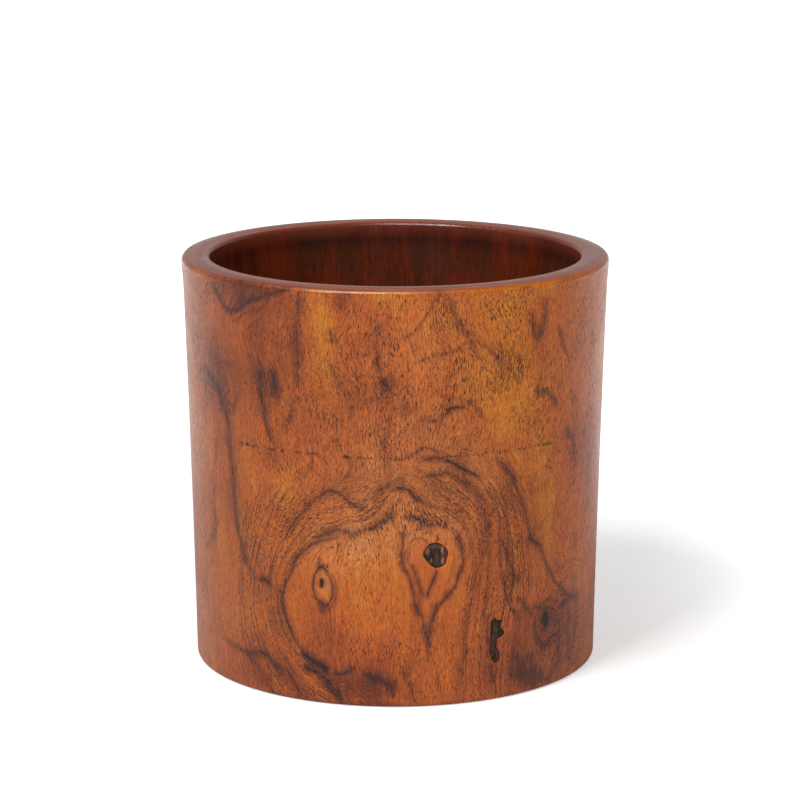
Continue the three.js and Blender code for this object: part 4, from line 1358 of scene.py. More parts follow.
class NodeSheet:
    """Adds nodes to one node tree and joins them.

    The flow share sets how fast marks that follow the growth bands change across them.
    """

    flow_share = 0.58

    def __init__(self, tree: NodeTree) -> None:
        """Keeps the tree that the nodes go into."""
        self.tree = tree

    def node(self, kind: str, **settings: object) -> bpy.types.Node:
        """Adds a node and gives it its settings.

        Args:
            kind: The node's type.
            settings: Its settings, by name.

        Returns:
            The node.
        """
        node = self.tree.nodes.new(kind)
        for name, value in settings.items():
            setattr(node, name, value)
        return node

    def feed(self, target: Socket, value: Optional[Feed]) -> None:
        """Joins a socket to another, or sets its value.

        Args:
            target: The input.
            value: Another node's output, a plain value, or nothing.
        """
        if value is None:
            return
        if isinstance(value, bpy.types.NodeSocket):
            self.tree.links.new(value, target)
        else:
            target.default_value = value

    def math(self, operation: str, a: Feed, b: Optional[Feed] = None, c: Optional[Feed] = None) -> Socket:
        """Adds a Math node.

        Args:
            operation: What it works out.
            a: Its first value.
            b: Its second value.
            c: Its third value.

        Returns:
            Its result.
        """
        node = self.node("ShaderNodeMath", operation=operation)
        for socket, value in zip(node.inputs, (a, b, c)):
            self.feed(socket, value)
        return node.outputs[0]

    def times(self, a: Feed, b: Feed) -> Socket:
        """Multiplies two values."""
        return self.math("MULTIPLY", a, b)

    def times_plus(self, a: Feed, b: Feed, c: Feed) -> Socket:
        """Multiplies two values and adds a third."""
        return self.math("MULTIPLY_ADD", a, b, c)

    def swing(self, value: Feed, amount: Feed, about: Feed = 0.0) -> Socket:
        """Swings about a value by an amount, as another value goes from 0 to 1."""
        return self.math("MULTIPLY_ADD", self.math("SUBTRACT", value, 0.5), amount, about)

    def split(self, place: Feed) -> Sequence[Socket]:
        """Takes a vector apart into its three values.

        Args:
            place: The vector.

        Returns:
            Its three values.
        """
        parts = self.node("ShaderNodeSeparateXYZ")
        self.feed(parts.inputs[0], place)
        return parts.outputs

    def blend(self, share: Feed, a: Feed, b: Feed) -> Socket:
        """Goes from one value to another as a share goes from 0 to 1.

        Args:
            share: The share.
            a: The value at 0.
            b: The value at 1.

        Returns:
            The value between.
        """
        node = self.node("ShaderNodeMix", data_type="FLOAT")
        for k, value in enumerate((share, None, a, b)):
            self.feed(node.inputs[k], value)
        return node.outputs[0]

    def clamp(self, value: Feed) -> Socket:
        """Keeps a value between 0 and 1.

        Args:
            value: The value.

        Returns:
            The value, kept in.
        """
        node = self.node("ShaderNodeClamp")
        self.feed(node.inputs[0], value)
        return node.outputs[0]

    def vector(
        self, operation: str, a: Feed, b: Optional[Feed] = None, scale: Optional[Feed] = None
    ) -> Socket:
        """Adds a Vector Math node.

        Args:
            operation: What it works out.
            a: Its first vector.
            b: Its second vector.
            scale: Its factor, where it scales.

        Returns:
            Its result, as a vector or as a value.
        """
        node = self.node("ShaderNodeVectorMath", operation=operation)
        self.feed(node.inputs[0], a)
        self.feed(node.inputs[1], b)
        if scale is not None:
            self.feed(node.inputs["Scale"], scale)
        return node.outputs[1 if operation == "LENGTH" else 0]

    def noise(
        self, place: Feed, scale: Feed, detail: float = 2.0, roughness: float = 0.5, line: bool = False,
        vector: bool = False,
    ) -> Socket:
        """Adds a Noise Texture.

        Args:
            place: Where it is read: a vector, or a value where it runs along a line.
            scale: Its scale.
            detail: How many finer layers it has.
            roughness: How strong the finer layers are.
            line: Whether it runs along a line.
            vector: Whether it gives three values at once.

        Returns:
            Its value, from 0 to 1, or its three values.
        """
        node = self.node("ShaderNodeTexNoise", noise_dimensions="1D" if line else "3D")
        self.feed(node.inputs["W" if line else "Vector"], place)
        self.feed(node.inputs["Scale"], scale)
        self.feed(node.inputs["Detail"], detail)
        self.feed(node.inputs["Roughness"], roughness)
        return node.outputs[int(vector)]

    def remap(self, value: Feed, low: Feed, high: Feed, to_low: Feed = 0.0, to_high: Feed = 1.0) -> Socket:
        """Maps a span of a value smoothly onto another.

        Args:
            value: The value.
            low: Where the span starts.
            high: Where it ends.
            to_low: What its start becomes.
            to_high: What its end becomes.

        Returns:
            The mapped value.
        """
        node = self.node("ShaderNodeMapRange", interpolation_type="SMOOTHSTEP")
        for socket, given in zip(node.inputs, (value, low, high, to_low, to_high)):
            self.feed(socket, given)
        return node.outputs[0]

    def mix(self, share: Feed, a: Feed, b: Feed) -> Socket:
        """Mixes two colours.

        Args:
            share: How much of the second.
            a: The first colour.
            b: The second colour.

        Returns:
            The colour.
        """
        node = self.node("ShaderNodeMix", data_type="RGBA")
        self.feed(node.inputs[0], share)
        self.feed(node.inputs[6], a)
        self.feed(node.inputs[7], b)
        return node.outputs[2]

    def stretched(self, place: Feed, across: Feed, along: Feed) -> Socket:
        """Divides a place by one size across the fibres and another along them.

        Args:
            place: The place.
            across: The size across the fibres.
            along: The size along them.

        Returns:
            The divided place.
        """
        size = self.node("ShaderNodeCombineXYZ")
        for k, value in enumerate((across, across, along)):
            self.feed(size.inputs[k], value)
        return self.vector("DIVIDE", place, size.outputs[0])

    def flowing(self, place: Feed, growth: Feed, across: float, along: float) -> Socket:
        """Gives a place to read noise at, so that its marks run along the growth bands.

        Args:
            place: The place in millimetres.
            growth: The growth value there.
            across: How wide the marks are.
            along: How long they are.

        Returns:
            The place, which moves fast across the bands and slowly along them.
        """
        slow = self.vector("SCALE", place, scale=1 / along)
        fast = self.times(growth, self.flow_share / across)
        return self.vector("ADD", slow, fast)

    def attribute(self, name: str, vector: bool = False) -> Socket:
        """Reads a value, or a vector, that the mesh holds at its points."""
        node = self.node("ShaderNodeAttribute", attribute_name=name)
        return node.outputs["Vector" if vector else "Fac"]

    def place_mm(self) -> Socket:
        """Reads the place on the piece, in millimetres."""
        coordinates = self.node("ShaderNodeTexCoord").outputs["Object"]
        return self.vector("SCALE", coordinates, scale=1 / MM)

    def use(self, tree: NodeTree, **feeds: Feed) -> bpy.types.Node:
        """Adds a node group.

        Args:
            tree: The group.
            feeds: What each of its sockets gets, by the socket's name in small letters.

        Returns:
            The group's node.
        """
        node = self.node("ShaderNodeGroup", node_tree=tree)
        names = {socket.name.lower().replace(" ", "_"): socket for socket in node.inputs}
        for name, value in feeds.items():
            self.feed(names[name], value)
        return node

    def surface(
        self, colour: Feed, rough: Feed, specular: float, sunk: Optional[Feed] = None,
        relief: Span = (0.0, 0.0),
    ) -> None:
        """Joins up the shader of a piece.

        Args:
            colour: The surface's colour.
            rough: Its roughness.
            specular: How strong its sheen is.
            sunk: How deep it is sunk, or nothing where it is even.
            relief: The depth in metres that 1 stands for, and how strongly it shows.
        """
        shader = self.node("ShaderNodeBsdfPrincipled")
        self.feed(shader.inputs["Base Color"], colour)
        self.feed(shader.inputs["Roughness"], rough)
        shader.inputs["Specular IOR Level"].default_value = specular
        if sunk is not None:
            bump = self.node("ShaderNodeBump")
            bump.inputs["Distance"].default_value, bump.inputs["Strength"].default_value = relief
            self.feed(bump.inputs["Height"], self.math("SUBTRACT", 1.0, sunk))
            self.feed(shader.inputs["Normal"], bump.outputs[0])
        self.feed(self.node("ShaderNodeOutputMaterial").inputs[0], shader.outputs[0])


class EffectBook:
    """The effects that several finishes share, each a node group that is built once.

    A line's core ends between two shares of its width, and its stain at a share of it plus a distance. The
    heart is where the end grain's rings are centred, and they lean a little from floor to lip.
    """

    pore_threshold = 0.68
    pore_threshold_step = -0.08
    pore_edge = 0.09
    thin_bands = (0.48, 0.66)
    core_edge = (0.75, 0.1)
    stain_edge = (1.7, 0.8)
    heart = (4.0, -3.0, 0.0)
    heart_lean = 0.05
    patch_span = (0.35, 0.7)

    def __init__(self) -> None:
        """Builds every effect."""
        self.pores = self._pores()
        self.streaks = self._streaks()
        self.bands = self._bands()
        self.line = self._line()
        self.end_grain = self._end_grain()
        self.edge_patches = self._rub()

    def _start(
        self, name: str, results: Sequence[str], **inputs: Optional[float]
    ) -> tuple[NodeSheet, dict[str, Socket], dict[str, Socket]]:
        """Starts a node group.

        Args:
            name: The group's name.
            results: The names of the values that it gives.
            inputs: The usual value of each thing that it takes, or None for a vector.

        Returns:
            Its sheet, its inputs to read from and its results to feed.
        """
        tree = bpy.data.node_groups.new(name, "ShaderNodeTree")
        for title, usual in inputs.items():
            kind = "NodeSocketVector" if usual is None else "NodeSocketFloat"
            socket = tree.interface.new_socket(title, in_out="INPUT", socket_type=kind)
            if usual is not None:
                socket.default_value = usual
        for title in results:
            tree.interface.new_socket(title, in_out="OUTPUT", socket_type="NodeSocketFloat")
        sheet = NodeSheet(tree)
        given, result = sheet.node("NodeGroupInput").outputs, sheet.node("NodeGroupOutput").inputs
        return sheet, {title: given[title] for title in inputs}, {title: result[title] for title in results}

    def _pores(self) -> NodeTree:
        """Builds the open pores: short dark dashes along the fibres.

        Returns:
            The node group.
        """
        sheet, given, result = self._start("open pores", ("Mask",), Place=None, Share=1.0)
        dashes = sheet.noise(given["Place"], 1.0, 1.0, 0.45)
        low = sheet.times_plus(given["Share"], self.pore_threshold_step, self.pore_threshold)
        sheet.feed(result["Mask"], sheet.remap(dashes, low, sheet.math("ADD", low, self.pore_edge)))
        return sheet.tree

    def _streaks(self) -> NodeTree:
        """Builds the fibres' streaks: fine and broad stripes along the fibres.

        Returns:
            The node group.
        """
        sheet, given, result = self._start(
            "fibre streaks", ("Fine", "Broad"), Place=None, Across=1.2, Along=30.0
        )
        spot = sheet.stretched(given["Place"], given["Across"], given["Along"])
        sheet.feed(result["Fine"], sheet.noise(spot, 1.0, 3.0, 0.6))
        sheet.feed(result["Broad"], sheet.noise(spot, 0.22, 3.0, 0.55))
        return sheet.tree

    def _bands(self) -> NodeTree:
        """Builds the growth bands, which follow the level lines of the growth value.

        Returns:
            The node group.
        """
        sheet, given, result = self._start(
            "growth bands", ("Broad", "Fine"), Growth=0.0, Place=None, Spacing=2.0, Waver=1.0
        )
        growth = sheet.swing(sheet.noise(given["Place"], 0.09, 5.0, 0.6), given["Waver"], given["Growth"])
        level = sheet.math("DIVIDE", growth, given["Spacing"])
        sheet.feed(result["Broad"], sheet.noise(level, 0.45, 2.0, 0.5, True))
        thin = sheet.noise(level, 1.6, 2.0, 0.6, True)
        sheet.feed(result["Fine"], sheet.remap(thin, *self.thin_bands))
        return sheet.tree

    def _line(self) -> NodeTree:
        """Builds a growth line: its dark core and the soft stain round it.

        Returns:
            The node group.
        """
        sheet, given, result = self._start(
            "growth line", ("Core", "Stain"), Figure=None, Width=1.0, Waver=0.0, Swell=1.0, Broken=1.0
        )
        gap, core, soft = sheet.split(given["Figure"])
        gap = sheet.math("ABSOLUTE", sheet.math("ADD", gap, given["Waver"]))
        width = sheet.times(given["Width"], given["Swell"])
        inner = sheet.remap(gap, *(sheet.times(width, share) for share in self.core_edge))
        outer = sheet.remap(gap, sheet.times_plus(width, *self.stain_edge), 0.0)
        core = sheet.times(core, given["Broken"])
        sheet.feed(result["Core"], sheet.clamp(sheet.times(inner, core)))
        sheet.feed(result["Stain"], sheet.clamp(sheet.times(outer, soft)))
        return sheet.tree

    def _end_grain(self) -> NodeTree:
        """Builds the rings that show where the wood is cut across.

        Returns:
            The node group.
        """
        sheet, given, result = self._start("end grain", ("Rings",), Place=None, Spacing=3.0, Waver=5.0)
        flat = sheet.vector("MULTIPLY", given["Place"], (1.0, 1.0, self.heart_lean))
        away = sheet.vector("LENGTH", sheet.vector("SUBTRACT", flat, self.heart))
        away = sheet.swing(sheet.noise(flat, 0.03, 3.0), given["Waver"], away)
        level = sheet.math("DIVIDE", away, given["Spacing"])
        sheet.feed(result["Rings"], sheet.noise(level, 1.0, 3.0, 0.6, True))
        return sheet.tree

    def _rub(self) -> NodeTree:
        """Builds broken patches of darkening along an edge: painted contact shade at the cup's foot, and wear
        on the plug.

        Returns:
            The node group.
        """
        sheet, given, result = self._start("edge patches", ("Mask",), Place=None, Edge=0.0, Amount=0.5)
        patch = sheet.noise(given["Place"], 0.12, 4.0, 0.6)
        mask = sheet.times(sheet.remap(patch, *self.patch_span), sheet.times(given["Edge"], given["Amount"]))
        sheet.feed(result["Mask"], sheet.clamp(mask))
        return sheet.tree


def fresh_sheet(name: str) -> tuple[bpy.types.Material, NodeSheet]:
    """Starts a material.

    Args:
        name: Its name.

    Returns:
        The material and its empty sheet.
    """
    material = bpy.data.materials.new(name)
    material.use_nodes = True
    material.node_tree.nodes.clear()
    return material, NodeSheet(material.node_tree)


class Finish:
    """What all finishes share."""

    title: str

    def material(self, book: EffectBook) -> bpy.types.Material:
        """Builds the finish.

        Args:
            book: The shared effects.

        Returns:
            The material.
        """
        material, sheet = fresh_sheet(self.title)
        self.dress(sheet, book)
        return material

    def dress(self, sheet: NodeSheet, book: EffectBook) -> None:
        """Adds the finish's own nodes, up to its shader."""
        raise NotImplementedError


@dataclass(frozen=True)
class RosewoodFinish(Finish):
    """Wax-polished figured rosewood, for the turned cup.

    Lengths are in millimetres. A size of two numbers is across the fibres and along them, and a swing is how
    far one value moves another as it goes from 0 to 1. The relief is a depth in metres and its strength.
    """

    title: str = "figured rosewood"
    golden: Colour = paint(190, 110, 30)
    orange: Colour = paint(174, 86, 31)
    russet: Colour = paint(124, 54, 25)
    tan: Colour = paint(188, 114, 62)
    # Smoke is the dark of the darker wood, and of the painted shade down the left flank
    smoke: Colour = paint(54, 27, 23)
    plum: Colour = paint(74, 35, 31)
    ink: Colour = paint(32, 18, 14)
    pore: Colour = paint(50, 23, 14)
    bore_deep: Colour = paint(44, 3, 0)
    bore_amber: Colour = paint(104, 24, 2)
    lip_tint: Colour = paint(112, 50, 32)
    roughness: float = 0.36
    roughness_swing: float = 0.12
    pore_roughness: float = 0.2
    lip_roughness: float = 0.16
    specular: float = 0.3
    relief: Span = (0.00005, 0.45)
    core_depth: float = 0.6
    peck_depth: float = 2.0
    band_spacing: float = 2.0
    band_waver: float = 3.5
    hair_size: Span = (0.25, 2.1)
    curved_hair_size: Span = (0.3, 1.3)
    hair_light: Span = (1.3, 0.68)
    long_hair_size: Span = (0.42, 9.0)
    long_hair_light: Span = (1.12, 0.84)
    line_waver: Span = (0.5, 1.3)
    line_swell: Span = (0.5, 1.5)
    line_breaks: Span = (0.7, 1.1)
    thread_swing: float = 1.5
    thread_strength: float = 0.82
    stained_pores: float = 0.4
    pore_sizes: tuple[Span, ...] = ((0.24, 1.4), (0.34, 2.8))
    pore_depths: Span = (0.9, 1.0)
    curved_pore_share: float = 0.65
    pore_strength: float = 0.9
    peck_height: float = 106.9
    peck_radius: float = 91.3
    pecks_round: int = 230
    peck_waver: float = 2.2
    peck_sizes: Span = (0.05, 0.7)
    peck_growth: float = 0.5
    peck_strength: float = 0.95
    streak_size: Span = (0.9, 16.0)
    mottle_swing: float = 1.6
    fine_swing: float = 1.3
    broad_swing: float = 1.2
    band_swing: float = 1.8
    shade_strength: float = 0.85
    bore_streak_size: Span = (1.6, 9.0)
    bore_tone: float = 0.12
    bore_fine_swing: float = 1.8
    bore_broad_swing: float = 2.0
    bore_hair_swing: float = -0.5
    ring_spacing: float = 2.6
    cut_strength: float = 0.95
    # How strong the painted shade along the foot's lowest edge is
    foot_rub: float = 0.7

    def dress(self, sheet: NodeSheet, book: EffectBook) -> None:
        """Adds the finish's own nodes, up to its shader.

        Args:
            sheet: The material's sheet.
            book: The shared effects.
        """
        place = sheet.place_mm()
        fibres = sheet.attribute("fibre_place", True)
        hair = self._hair(sheet, place, fibres)
        bands = sheet.use(
            book.bands, growth=sheet.attribute("growth"), place=place, spacing=self.band_spacing,
            waver=self.band_waver,
        )
        core, stain = self._lines(sheet, book, place, hair)
        threads = self._threads(sheet, bands.outputs["Fine"], place, hair)
        pores = self._open_pores(sheet, book, place, fibres, sheet.math("ADD", stain, threads))
        pecks = self._pecks(sheet, place)
        colour = self._ground(sheet, book, bands.outputs["Broad"], fibres)
        stain = sheet.times(stain, sheet.remap(hair, 0.38, 0.6, 0.45, 1.0))
        colour = sheet.mix(sheet.math("MAXIMUM", stain, threads), colour, self.plum)
        colour = sheet.vector("SCALE", colour, scale=sheet.remap(hair, 0.34, 0.68, *self.hair_light))
        long_hair = sheet.noise(sheet.stretched(fibres, *self.long_hair_size), 1.0, 2.0, 0.6)
        long_light = sheet.remap(long_hair, 0.36, 0.66, *self.long_hair_light)
        colour = sheet.vector("SCALE", colour, scale=long_light)
        colour = sheet.mix(sheet.times(pores, self.pore_strength), colour, self.pore)
        colour = sheet.mix(sheet.math("MAXIMUM", core, pecks), colour, self.ink)
        colour = self._inside(sheet, book, colour, place, hair)
        colour = self._edges(sheet, book, colour, place)
        rough = sheet.swing(sheet.noise(place, 0.05, 3.0), self.roughness_swing, self.roughness)
        rough = sheet.times_plus(pores, self.pore_roughness, rough)
        rough = sheet.times_plus(sheet.attribute("polish"), self.lip_roughness - self.roughness, rough)
        sunk = sheet.times_plus(pecks, self.peck_depth, sheet.times_plus(core, self.core_depth, pores))
        sheet.surface(colour, rough, self.specular, sunk, self.relief)

    def _lines(
        self, sheet: NodeSheet, book: EffectBook, place: Socket, hair: Socket
    ) -> tuple[Socket, Socket]:
        """Joins the sets of growth lines into one mask for their cores and one for their stains.

        Args:
            sheet: The material's sheet.
            book: The shared effects.
            place: The place on the pot, in millimetres.
            hair: The finest grain.

        Returns:
            The mask of the cores, and the mask of the stains.
        """
        amount = sheet.remap(sheet.attribute("banded"), 0.0, 1.0, *self.line_waver)
        waver = sheet.swing(sheet.noise(place, 0.24, 5.0, 0.62), amount)
        swell = sheet.remap(sheet.noise(place, 0.16, 2.0), 0.3, 0.7, *self.line_swell)
        broken = sheet.remap(hair, 0.4, 0.56, *self.line_breaks)
        cores: Feed = 0.0
        stains: Feed = 0.0
        for layer in Layer:
            figure = sheet.node("ShaderNodeAttribute", attribute_name=layer.value)
            line = sheet.use(
                book.line, figure=figure.outputs["Vector"], width=figure.outputs["Alpha"], waver=waver,
                swell=swell, broken=broken,
            )
            cores = sheet.math("MAXIMUM", cores, line.outputs["Core"])
            stains = sheet.math("MAXIMUM", stains, line.outputs["Stain"])
        return cores, stains

    def _hair(self, sheet: NodeSheet, place: Socket, fibres: Socket) -> Socket:
        """Gives the finest grain, which follows the bands where they show and is calm in closed grain.

        Args:
            sheet: The material's sheet.
            place: The place on the pot, in millimetres.
            fibres: The place along the fibres.

        Returns:
            The grain, from 0 to 1.
        """
        straight = sheet.noise(sheet.stretched(fibres, *self.hair_size), 1.0, 2.0, 0.55)
        spot = sheet.flowing(place, sheet.attribute("growth"), *self.curved_hair_size)
        curved = sheet.noise(spot, 1.0, 2.0, 0.55)
        hair = sheet.blend(sheet.attribute("banded"), straight, curved)
        return sheet.blend(sheet.remap(sheet.attribute("open_grain"), 0.1, 0.8, 0.25, 1.0), 0.5, hair)

    def _threads(self, sheet: NodeSheet, fine: Socket, place: Socket, hair: Socket) -> Socket:
        """Gives the thin dark threads that run beside each other along the growth bands.

        Args:
            sheet: The material's sheet.
            fine: The fine streaks.
            place: The place on the pot, in millimetres.
            hair: The finest grain.

        Returns:
            The threads' mask.
        """
        both = sheet.swing(hair, self.thread_swing, fine)
        patch = sheet.remap(sheet.noise(place, 0.09, 2.0), 0.35, 0.62, 0.35, 1.0)
        share = sheet.times(sheet.attribute("banded"), sheet.times(patch, self.thread_strength))
        return sheet.times(sheet.remap(both, 0.15, 0.75), share)

    def _open_pores(
        self, sheet: NodeSheet, book: EffectBook, place: Socket, fibres: Socket, stain: Socket
    ) -> Socket:
        """Joins fine and coarse pores, more of them where the grain is open or stained.

        Args:
            sheet: The material's sheet.
            book: The shared effects.
            place: The place on the pot, in millimetres.
            fibres: The place along the fibres.
            stain: The mask of the stains.

        Returns:
            The pores' mask.
        """
        patch = sheet.remap(sheet.noise(fibres, 0.07, 2.0), 0.3, 0.7, 0.6, 1.4)
        share = sheet.times(sheet.attribute("open_grain"), patch)
        share = sheet.times_plus(stain, self.stained_pores, share)
        growth, banded = sheet.attribute("growth"), sheet.attribute("banded")
        found: list[Socket] = []
        for (across, along), depth in zip(self.pore_sizes, self.pore_depths):
            straight = sheet.use(book.pores, place=sheet.stretched(fibres, across, along), share=share)
            spot = sheet.flowing(place, growth, across, self.curved_pore_share * along)
            curved = sheet.use(book.pores, place=spot, share=share)
            both = sheet.blend(banded, straight.outputs[0], curved.outputs[0])
            found.append(sheet.times(both, depth))
        return sheet.math("MAXIMUM", *found)

    def _pecks(self, sheet: NodeSheet, place: Socket) -> Socket:
        """Builds the row of small peck marks round the wall: dots of many sizes on one level.

        Args:
            sheet: The material's sheet.
            place: The place on the pot, in millimetres.

        Returns:
            The marks' mask.
        """
        side, back, height = sheet.split(place)
        turned = sheet.math("ARCTAN2", side, sheet.times(back, -1.0))
        cell = sheet.node("ShaderNodeTexVoronoi", voronoi_dimensions="1D")
        sheet.feed(cell.inputs["W"], sheet.times(turned, self.pecks_round / (2 * math.pi)))
        spacing = 2 * math.pi * self.peck_radius / self.pecks_round
        gap = sheet.node("ShaderNodeCombineXYZ")
        sheet.feed(gap.inputs[0], sheet.times(cell.outputs["Distance"], spacing))
        off = sheet.math("SUBTRACT", height, self.peck_height)
        sheet.feed(gap.inputs[1], sheet.swing(sheet.noise(place, 0.2, 4.0, 0.7), self.peck_waver, off))
        size = sheet.remap(sheet.noise(place, 0.5, 1.0), 0.4, 0.62, *self.peck_sizes)
        size = sheet.times_plus(sheet.attribute("pecked"), self.peck_growth, size)
        inside = sheet.math("SUBTRACT", size, sheet.vector("LENGTH", gap.outputs[0]))
        return sheet.times(sheet.remap(inside, -0.1, 0.25), self.peck_strength)

    def _ground(self, sheet: NodeSheet, book: EffectBook, broad: Socket, fibres: Socket) -> Socket:
        """Builds the wood's ground colour, from russet to golden, with its bands and shading.

        Args:
            sheet: The material's sheet.
            book: The shared effects.
            broad: The broad growth bands.
            fibres: The place along the fibres.

        Returns:
            The colour.
        """
        across, along = self.streak_size
        streaks = sheet.use(book.streaks, place=fibres, across=across, along=along)
        mottle = sheet.noise(sheet.stretched(fibres, 1.0, 2.0), 0.09, 4.0, 0.6)
        tone = sheet.swing(mottle, self.mottle_swing, sheet.attribute("tone"))
        tone = sheet.swing(streaks.outputs["Fine"], self.fine_swing, tone)
        tone = sheet.swing(streaks.outputs["Broad"], self.broad_swing, tone)
        tone = sheet.swing(broad, sheet.times(sheet.attribute("banded"), self.band_swing), tone)
        colour = sheet.mix(sheet.remap(tone, -1.2, 0.1), self.russet, self.orange)
        colour = sheet.mix(sheet.remap(tone, 0.0, 1.2), colour, self.golden)
        pale = sheet.remap(streaks.outputs["Broad"], 0.35, 0.65, 0.6, 1.2)
        colour = sheet.mix(sheet.clamp(sheet.times(sheet.attribute("tan"), pale)), colour, self.tan)
        cloud = sheet.noise(sheet.stretched(fibres, 1.0, 2.5), 0.5, 4.0, 0.65)
        shade = sheet.times(sheet.attribute("dark"), sheet.remap(cloud, 0.3, 0.7, 0.4, 1.6))
        return sheet.mix(sheet.times(sheet.clamp(shade), self.shade_strength), colour, self.smoke)

    def _inside(
        self, sheet: NodeSheet, book: EffectBook, colour: Feed, place: Socket, hair: Socket
    ) -> Socket:
        """Gives the bore its own dark, mottled wood.

        Args:
            sheet: The material's sheet.
            book: The shared effects.
            colour: The colour outside.
            place: The place on the pot, in millimetres.
            hair: The finest grain.

        Returns:
            The colour, inside and out.
        """
        across, along = self.bore_streak_size
        streaks = sheet.use(book.streaks, place=place, across=across, along=along)
        tone = sheet.swing(streaks.outputs["Fine"], self.bore_fine_swing, self.bore_tone)
        tone = sheet.swing(streaks.outputs["Broad"], self.bore_broad_swing, tone)
        tone = sheet.swing(hair, self.bore_hair_swing, tone)
        tone = sheet.math("ADD", tone, sheet.attribute("bore_amber"))
        inside = sheet.mix(sheet.clamp(tone), self.bore_deep, self.bore_amber)
        cloud = sheet.remap(sheet.noise(place, 0.3, 3.0, 0.6), 0.3, 0.65, 0.4, 1.4)
        spots = sheet.clamp(sheet.times(sheet.attribute("bore_dark"), cloud))
        inside = sheet.mix(sheet.times(spots, self.shade_strength), inside, self.ink)
        return sheet.mix(sheet.attribute("bore"), colour, inside)

    def _edges(self, sheet: NodeSheet, book: EffectBook, colour: Socket, place: Socket) -> Socket:
        """Gives the lip and the two floors their end grain, and paints shade in broken patches along the
        foot's lowest edge.

        Args:
            sheet: The material's sheet.
            book: The shared effects.
            colour: The colour so far.
            place: The place on the pot, in millimetres.

        Returns:
            The colour with its edges.
        """
        rings = sheet.use(book.end_grain, place=place, spacing=self.ring_spacing).outputs[0]
        top = sheet.mix(sheet.remap(rings, 0.35, 0.65, 0.6, 1.0), colour, self.lip_tint)
        colour = sheet.mix(sheet.times(sheet.attribute("cut_across"), self.cut_strength), colour, top)
        # Painted shade: the foot's lowest edge, where the pot meets the floor, goes toward plum in broken
        # patches
        patchy = sheet.use(book.edge_patches, place=place, edge=sheet.attribute("foot"), amount=self.foot_rub)
        return sheet.mix(patchy.outputs[0], colour, self.plum)


@dataclass(frozen=True)
class PlugFinish(Finish):
    """Duller brown rosewood end grain, for the plug."""

    title: str = "plug rosewood"
    light: Colour = paint(128, 66, 34)
    deep: Colour = paint(70, 34, 20)
    pore: Colour = paint(30, 15, 11)
    roughness: float = 0.43
    ring_roughness: float = 0.15
    specular: float = 0.5
    relief: Span = (0.00006, 0.5)
    ring_spacing: float = 2.4
    pore_size: Span = (0.75, 6.0)
    pore_share: float = 1.6
    pore_strength: float = 0.8
    edge_patches: float = 0.35

    def dress(self, sheet: NodeSheet, book: EffectBook) -> None:
        """Adds the finish's own nodes, up to its shader.

        Args:
            sheet: The material's sheet.
            book: The shared effects.
        """
        place = sheet.place_mm()
        rings = sheet.use(book.end_grain, place=place, spacing=self.ring_spacing).outputs[0]
        spot = sheet.stretched(place, *self.pore_size)
        pores = sheet.use(book.pores, place=spot, share=self.pore_share).outputs[0]
        colour = sheet.mix(sheet.remap(rings, 0.35, 0.65), self.light, self.deep)
        colour = sheet.mix(sheet.times(pores, self.pore_strength), colour, self.pore)
        patchy = sheet.use(book.edge_patches, place=place, edge=1.0, amount=self.edge_patches).outputs[0]
        colour = sheet.mix(patchy, colour, self.deep)
        rough = sheet.times_plus(rings, self.ring_roughness, self.roughness)
        sheet.surface(colour, rough, self.specular, pores, self.relief)


@dataclass(frozen=True)
class PuttyFinish(Finish):
    """Brown-black putty, rubbed flush, with a sliver of the old knot's wood left in it."""

    title: str = "dark putty"
    black: Colour = paint(33, 25, 20)
    moss: Colour = paint(66, 52, 37)
    pink: Colour = paint(152, 98, 80)
    mauve: Colour = paint(82, 44, 40)
    olive: Colour = paint(86, 66, 44)
    roughness: float = 0.5
    roughness_swing: float = 0.3
    specular: float = 0.14
    streak_size: Span = (0.8, 2.4)
    patch_waver: float = 1.6
    patch_edge: Span = (1.35, 0.65)
    patch_fade: float = 0.45
    patches: tuple[tuple[Colour, Place, Span, float], ...] = (
        (olive, (17.0, 69.0), (3.6, 0.9), 0.8), (mauve, (20.4, 65.0), (1.4, 4.2), 0.9),
        (mauve, (17.0, 65.0), (0.6, 3.4), 0.8), (pink, (13.4, 66.9), (0.8, 1.3), 0.75),
        (pink, (14.9, 62.9), (0.5, 0.8), 0.6), (pink, (19.4, 67.3), (0.5, 1.7), 1.0),
        (pink, (19.6, 62.9), (0.5, 1.7), 0.95), (olive, (41.6, 30.6), (0.9, 1.2), 0.9),
        (mauve, (41.2, 25.4), (1.6, 4.4), 0.75), (mauve, (43.2, 18.6), (1.2, 3.0), 0.8),
    )

    def dress(self, sheet: NodeSheet, book: EffectBook) -> None:
        """Adds the finish's own nodes, up to its shader.

        Args:
            sheet: The material's sheet.
            book: The shared effects.
        """
        place = sheet.place_mm()
        across, along = self.streak_size
        fine = sheet.use(book.streaks, place=place, across=across, along=along).outputs["Fine"]
        colour = sheet.mix(sheet.remap(fine, 0.42, 0.62), self.black, self.moss)
        waver = sheet.vector("SUBTRACT", sheet.noise(place, 0.7, 2.0, vector=True), (0.5, 0.5, 0.5))
        spot = sheet.vector("ADD", place, sheet.vector("SCALE", waver, scale=self.patch_waver))
        for tint, at, size, share in self.patches:
            off = sheet.vector("SUBTRACT", spot, (at[0], 0, at[1]))
            off = sheet.vector("MULTIPLY", off, (1 / size[0], 0, 1 / size[1]))
            mask = sheet.remap(sheet.vector("LENGTH", off), *self.patch_edge)
            mask = sheet.times(mask, sheet.remap(fine, 0.35, 0.55, self.patch_fade * share, share))
            colour = sheet.mix(mask, colour, tint)
        rough = sheet.swing(fine, self.roughness_swing, self.roughness)
        sheet.surface(colour, rough, self.specular)


# Studio


@dataclass(frozen=True)
class Lamp:
    """A soft square lamp that faces the pot, and lights its gloss, its matte colour or both."""

    name: str
    at: tuple[float, float, float]
    size: float
    watts: float
    in_gloss: bool = True
    in_matte: bool = True


